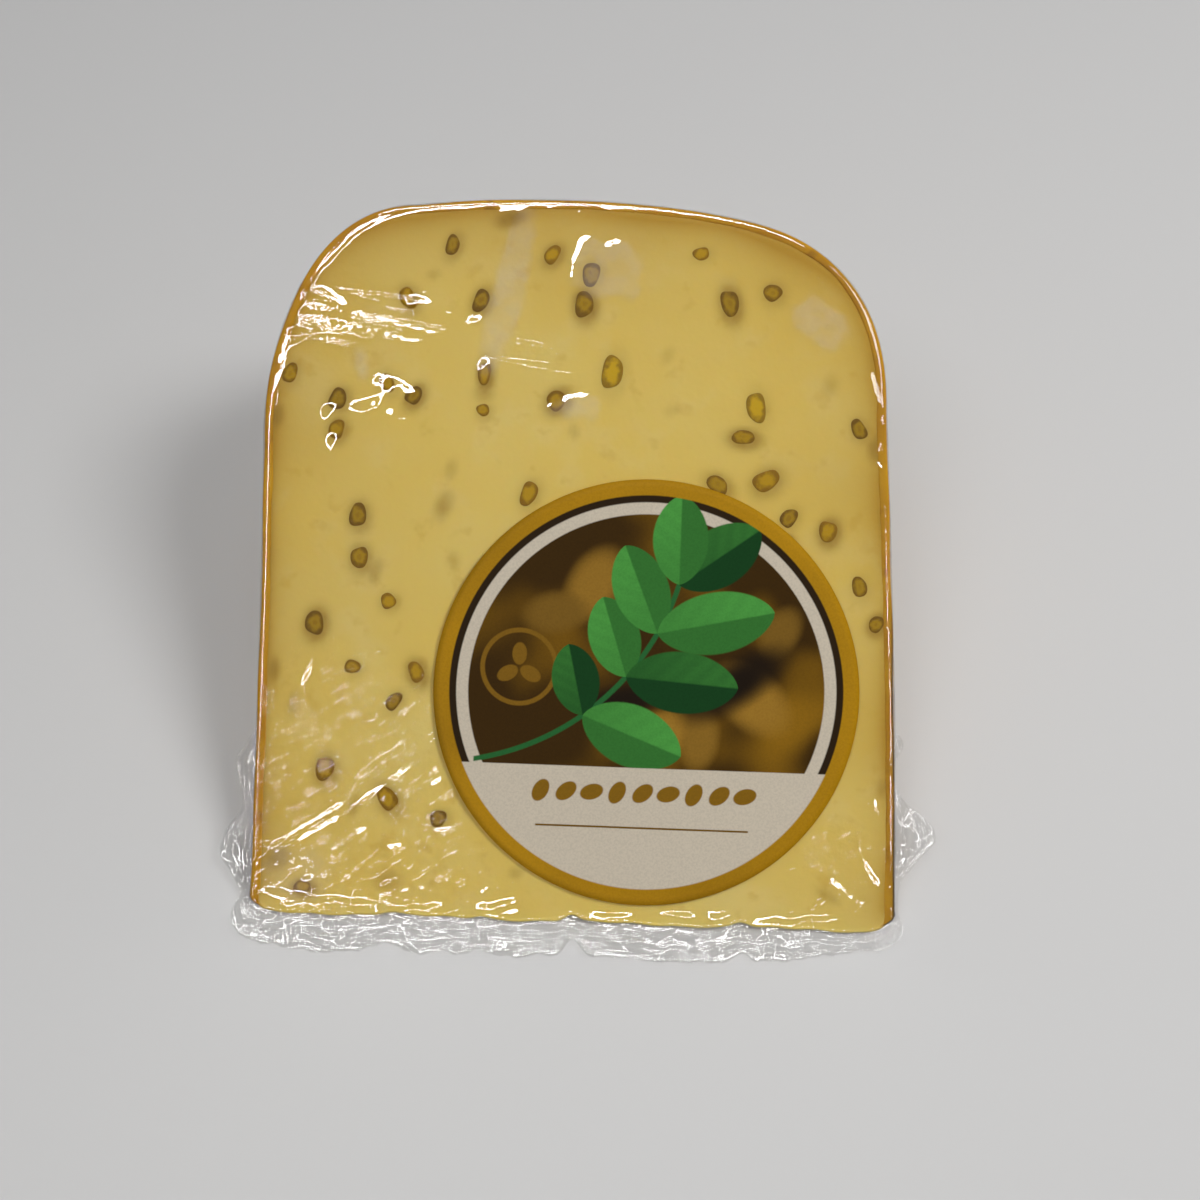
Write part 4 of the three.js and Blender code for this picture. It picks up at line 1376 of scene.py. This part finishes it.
def build_label():
    """A thin disc on the film: rings of a polar grid on its face and its back, joined at the
    edge, with its middle closed by a fan on each side."""
    steps, rounds = 192, 30
    angle = -np.linspace(0, 2 * math.pi, steps, endpoint=False)
    shares = np.linspace(0, 1, rounds + 1)[1:]
    reach = np.concatenate([shares, shares[::-1]])[:, None] * LABEL_RADIUS
    x = LABEL_ACROSS + reach * np.cos(angle)
    y = LABEL_OUT + reach * np.sin(angle)
    on_face = np.concatenate([np.ones(rounds), np.zeros(rounds)])[:, None]
    sag = 0.10 * waves(x, y, 30, 71) + 0.05 * waves(x, y, 9, 72) * (reach / LABEL_RADIUS) ** 3
    base = sizes().cling / MM + sizes().film / MM + LABEL_STAND
    lift = base + sag + on_face * sizes().label / MM
    rows = on_cut(x, y, lift)
    points, faces = sleeve(rows)
    count = len(points)
    heights = base + sag[0, 0] + np.array([sizes().label / MM, 0])
    middles = on_cut(np.full(2, LABEL_ACROSS), np.full(2, LABEL_OUT), heights)
    points = to_frame(np.concatenate([points, middles]))
    faces = faces.tolist() + fan(count, np.arange(steps)) + fan(count + 1, np.arange(count - steps, count))
    piece = make_piece("paper_label", points, faces, label_material(), ["label"])
    u, v = (
        np.append((reach * part(angle)).ravel(), [0, 0]) / LABEL_RADIUS / 2 + 0.5
        for part in (np.cos, np.sin)
    )
    paint_map(piece, "print", u, v)


# ---- stage ----

FACE_AIM = (2.3, 53.4)  # across and out of the place that the camera looks at
FRAME_WIDTH = 197.7  # millimetres of the cut that fill the view's width
LENS = 38.0
SENSOR = 36.0
ROLL = 2.04  # the wedge lies turned by this many degrees
FLOOR_HALF = 3.0  # metres
ROOM_COLOUR = (0.93, 0.95, 1.0, 1)
ROOM_STRENGTH = 0.22


def cut_direction(across=0.0, out=0.0, lift=0.0):
    """A direction given along the upper cut's own axes."""
    cos, sin = math.cos(WEDGE_ANGLE), math.sin(WEDGE_ANGLE)
    return Vector((across, out * cos - lift * sin, out * sin + lift * cos))


def add_camera():
    """A camera square to the upper cut."""
    camera = bpy.data.cameras.new("camera")
    camera.lens, camera.sensor_width = LENS, SENSOR
    camera.clip_start, camera.clip_end = 0.01, 20
    holder = bpy.data.objects.new("camera", camera)
    bpy.context.scene.collection.objects.link(holder)
    distance = FRAME_WIDTH * MM * LENS / SENSOR
    aim = Vector(to_frame(on_cut(np.array([FACE_AIM[0]]), np.array([FACE_AIM[1]]), np.array([0.0])))[0])
    roll = math.radians(ROLL)
    right = cut_direction(across=math.cos(roll), out=math.sin(roll))
    up = cut_direction(across=-math.sin(roll), out=math.cos(roll))
    back = cut_direction(lift=1.0)
    turn = Matrix((right, up, back)).transposed().to_4x4()
    holder.matrix_world = Matrix.Translation(aim + back * distance) @ turn
    bpy.context.scene.camera = holder


SOFT_LAMPS = [  # place, width and power
    ("key", (0.55, 0.03, 0.74), 0.32, 4.6),
    ("fill", (-0.32, -0.25, 0.88), 0.50, 2.3),
]

# Lamps that only glint in the film's folds: place in metres off the upper cut as (across, out,
# lift), width, height and power.
GLINTS = [
    ("glint_back", -0.06, 0.46, 0.68, 0.66, 0.055, 7.4),
    ("glint_top", 0.0, 0.70, 0.58, 0.70, 0.09, 10.0),
    ("glint_front", -0.08, -0.44, 0.68, 0.66, 0.045, 6.8),
    ("glint_left", -0.52, 0.02, 0.62, 0.045, 0.66, 4.2),
    ("glint_right", 0.52, -0.06, 0.62, 0.045, 0.36, 2.6),
    ("glint_corner", -0.40, -0.42, 0.62, 0.06, 0.06, 1.4),
]


def add_area_light(name, place, width, height, power, only_glints=False):
    """A soft area light at a place, turned to the wedge."""
    lamp = bpy.data.lights.new(name, "AREA")
    lamp.shape, lamp.size, lamp.size_y = "RECTANGLE", width, height
    lamp.energy = power
    holder = bpy.data.objects.new(name, lamp)
    bpy.context.scene.collection.objects.link(holder)
    holder.location = place
    holder.rotation_euler = (-place).to_track_quat("-Z", "Y").to_euler()
    holder.visible_diffuse = not only_glints
    return holder


def build_stage():
    """A plain pale floor, soft light from the right and from above, lamps that only glint in the
    film, and the camera."""
    mesh = bpy.data.meshes.new("floor")
    half = FLOOR_HALF
    corners = [(-half, -half, 0), (half, -half, 0), (half, half, 0), (-half, half, 0)]
    mesh.from_pydata(corners, [], [(0, 1, 2, 3)])
    material, tree, output = new_material("floor")
    finish = {"Base Color": rgba(colours().floor), "Roughness": 0.7}
    shader = add_node(tree, "ShaderNodeBsdfPrincipled", finish)
    tree.links.new(shader.outputs[0], output.inputs[0])
    mesh.materials.append(material)
    floor = bpy.data.objects.new("floor", mesh)
    bpy.context.scene.collection.objects.link(floor)
    world = bpy.data.worlds.new("room")
    bpy.context.scene.world = world
    world.use_nodes = True
    background = world.node_tree.nodes["Background"]
    background.inputs["Color"].default_value = ROOM_COLOUR
    background.inputs["Strength"].default_value = ROOM_STRENGTH
    for name, place, wide, power in SOFT_LAMPS:
        lamp = add_area_light(name, Vector(place), wide, wide, power)
        lamp.visible_glossy = name != "fill"
    for name, across, out, lift, wide, tall, power in GLINTS:
        add_area_light(name, cut_direction(across, out, lift), wide, tall, power, only_glints=True)
    bpy.context.scene.view_settings.view_transform = "Standard"
    add_camera()


# ---- operators ----

class PieceOperator:
    """What the operators share."""

    bl_options = {"REGISTER", "UNDO"}


class CHEESE_OT_stage(PieceOperator, bpy.types.Operator):
    """Sets out the floor, the lights and the camera"""

    bl_idname = "cheese.stage"
    bl_label = "Stage"

    def execute(self, context):
        build_stage()
        return {"FINISHED"}


class CHEESE_OT_paste(PieceOperator, bpy.types.Operator):
    """Makes the cheese itself, from cut to cut"""

    bl_idname = "cheese.paste"
    bl_label = "Cheese paste"

    def execute(self, context):
        build_paste()
        return {"FINISHED"}


class CHEESE_OT_coat(PieceOperator, bpy.types.Operator):
    """Makes the orange coating on the rim and the flat faces"""

    bl_idname = "cheese.coat"
    bl_label = "Rind coat"

    def execute(self, context):
        build_coat()
        return {"FINISHED"}


class CHEESE_OT_seeds(PieceOperator, bpy.types.Operator):
    """Lays every fenugreek seed in its pocket"""

    bl_idname = "cheese.seeds"
    bl_label = "Fenugreek seeds"

    def execute(self, context):
        material = seed_material()
        for order, seed in enumerate(SEEDS):
            build_seed(seed, order, material)
        return {"FINISHED"}


class CHEESE_OT_film(PieceOperator, bpy.types.Operator):
    """Wraps the wedge in its two webs of clear film and their sealed skirt"""

    bl_idname = "cheese.film"
    bl_label = "Clear film"

    def execute(self, context):
        material = film_material()
        film_web("film_upper_web", Ring(165, 185), True, material)
        film_web("film_lower_web", Ring(110, 125), False, material)
        build_skirt(material)
        return {"FINISHED"}


class CHEESE_OT_label(PieceOperator, bpy.types.Operator):
    """Sticks the round paper label on the upper film"""

    bl_idname = "cheese.label"
    bl_label = "Paper label"

    def execute(self, context):
        build_label()
        return {"FINISHED"}


class CHEESE_PT_pieces(bpy.types.Panel):
    """Lists the pieces in the order in which they are made"""

    bl_idname = "CHEESE_PT_pieces"
    bl_label = "Wrapped cheese wedge"
    bl_space_type = "VIEW_3D"
    bl_region_type = "UI"
    bl_category = "Cheese"

    def draw(self, context):
        for operator in OPERATORS:
            self.layout.operator(operator.bl_idname)
        for group in (context.scene.cheese_sizes, context.scene.cheese_colours):
            box = self.layout.box()
            for key in group.__annotations__:
                box.prop(group, key)


OPERATORS = (
    CHEESE_OT_stage, CHEESE_OT_paste, CHEESE_OT_coat, CHEESE_OT_seeds, CHEESE_OT_film, CHEESE_OT_label,
)
CLASSES = (CheeseSizes, CheeseColours, *OPERATORS, CHEESE_PT_pieces)


def register():
    """Adds the classes and the settings that the panel shows."""
    for one in CLASSES:
        bpy.utils.register_class(one)
    bpy.types.Scene.cheese_sizes = bpy.props.PointerProperty(type=CheeseSizes)
    bpy.types.Scene.cheese_colours = bpy.props.PointerProperty(type=CheeseColours)


def unregister():
    """Takes them away again."""
    del bpy.types.Scene.cheese_colours
    del bpy.types.Scene.cheese_sizes
    for one in reversed(CLASSES):
        bpy.utils.unregister_class(one)


def main():
    """Makes every piece in order."""
    register()
    bpy.ops.cheese.stage()
    bpy.ops.cheese.paste()
    bpy.ops.cheese.coat()
    bpy.ops.cheese.seeds()
    bpy.ops.cheese.film()
    bpy.ops.cheese.label()


if __name__ == "__main__":
    main()
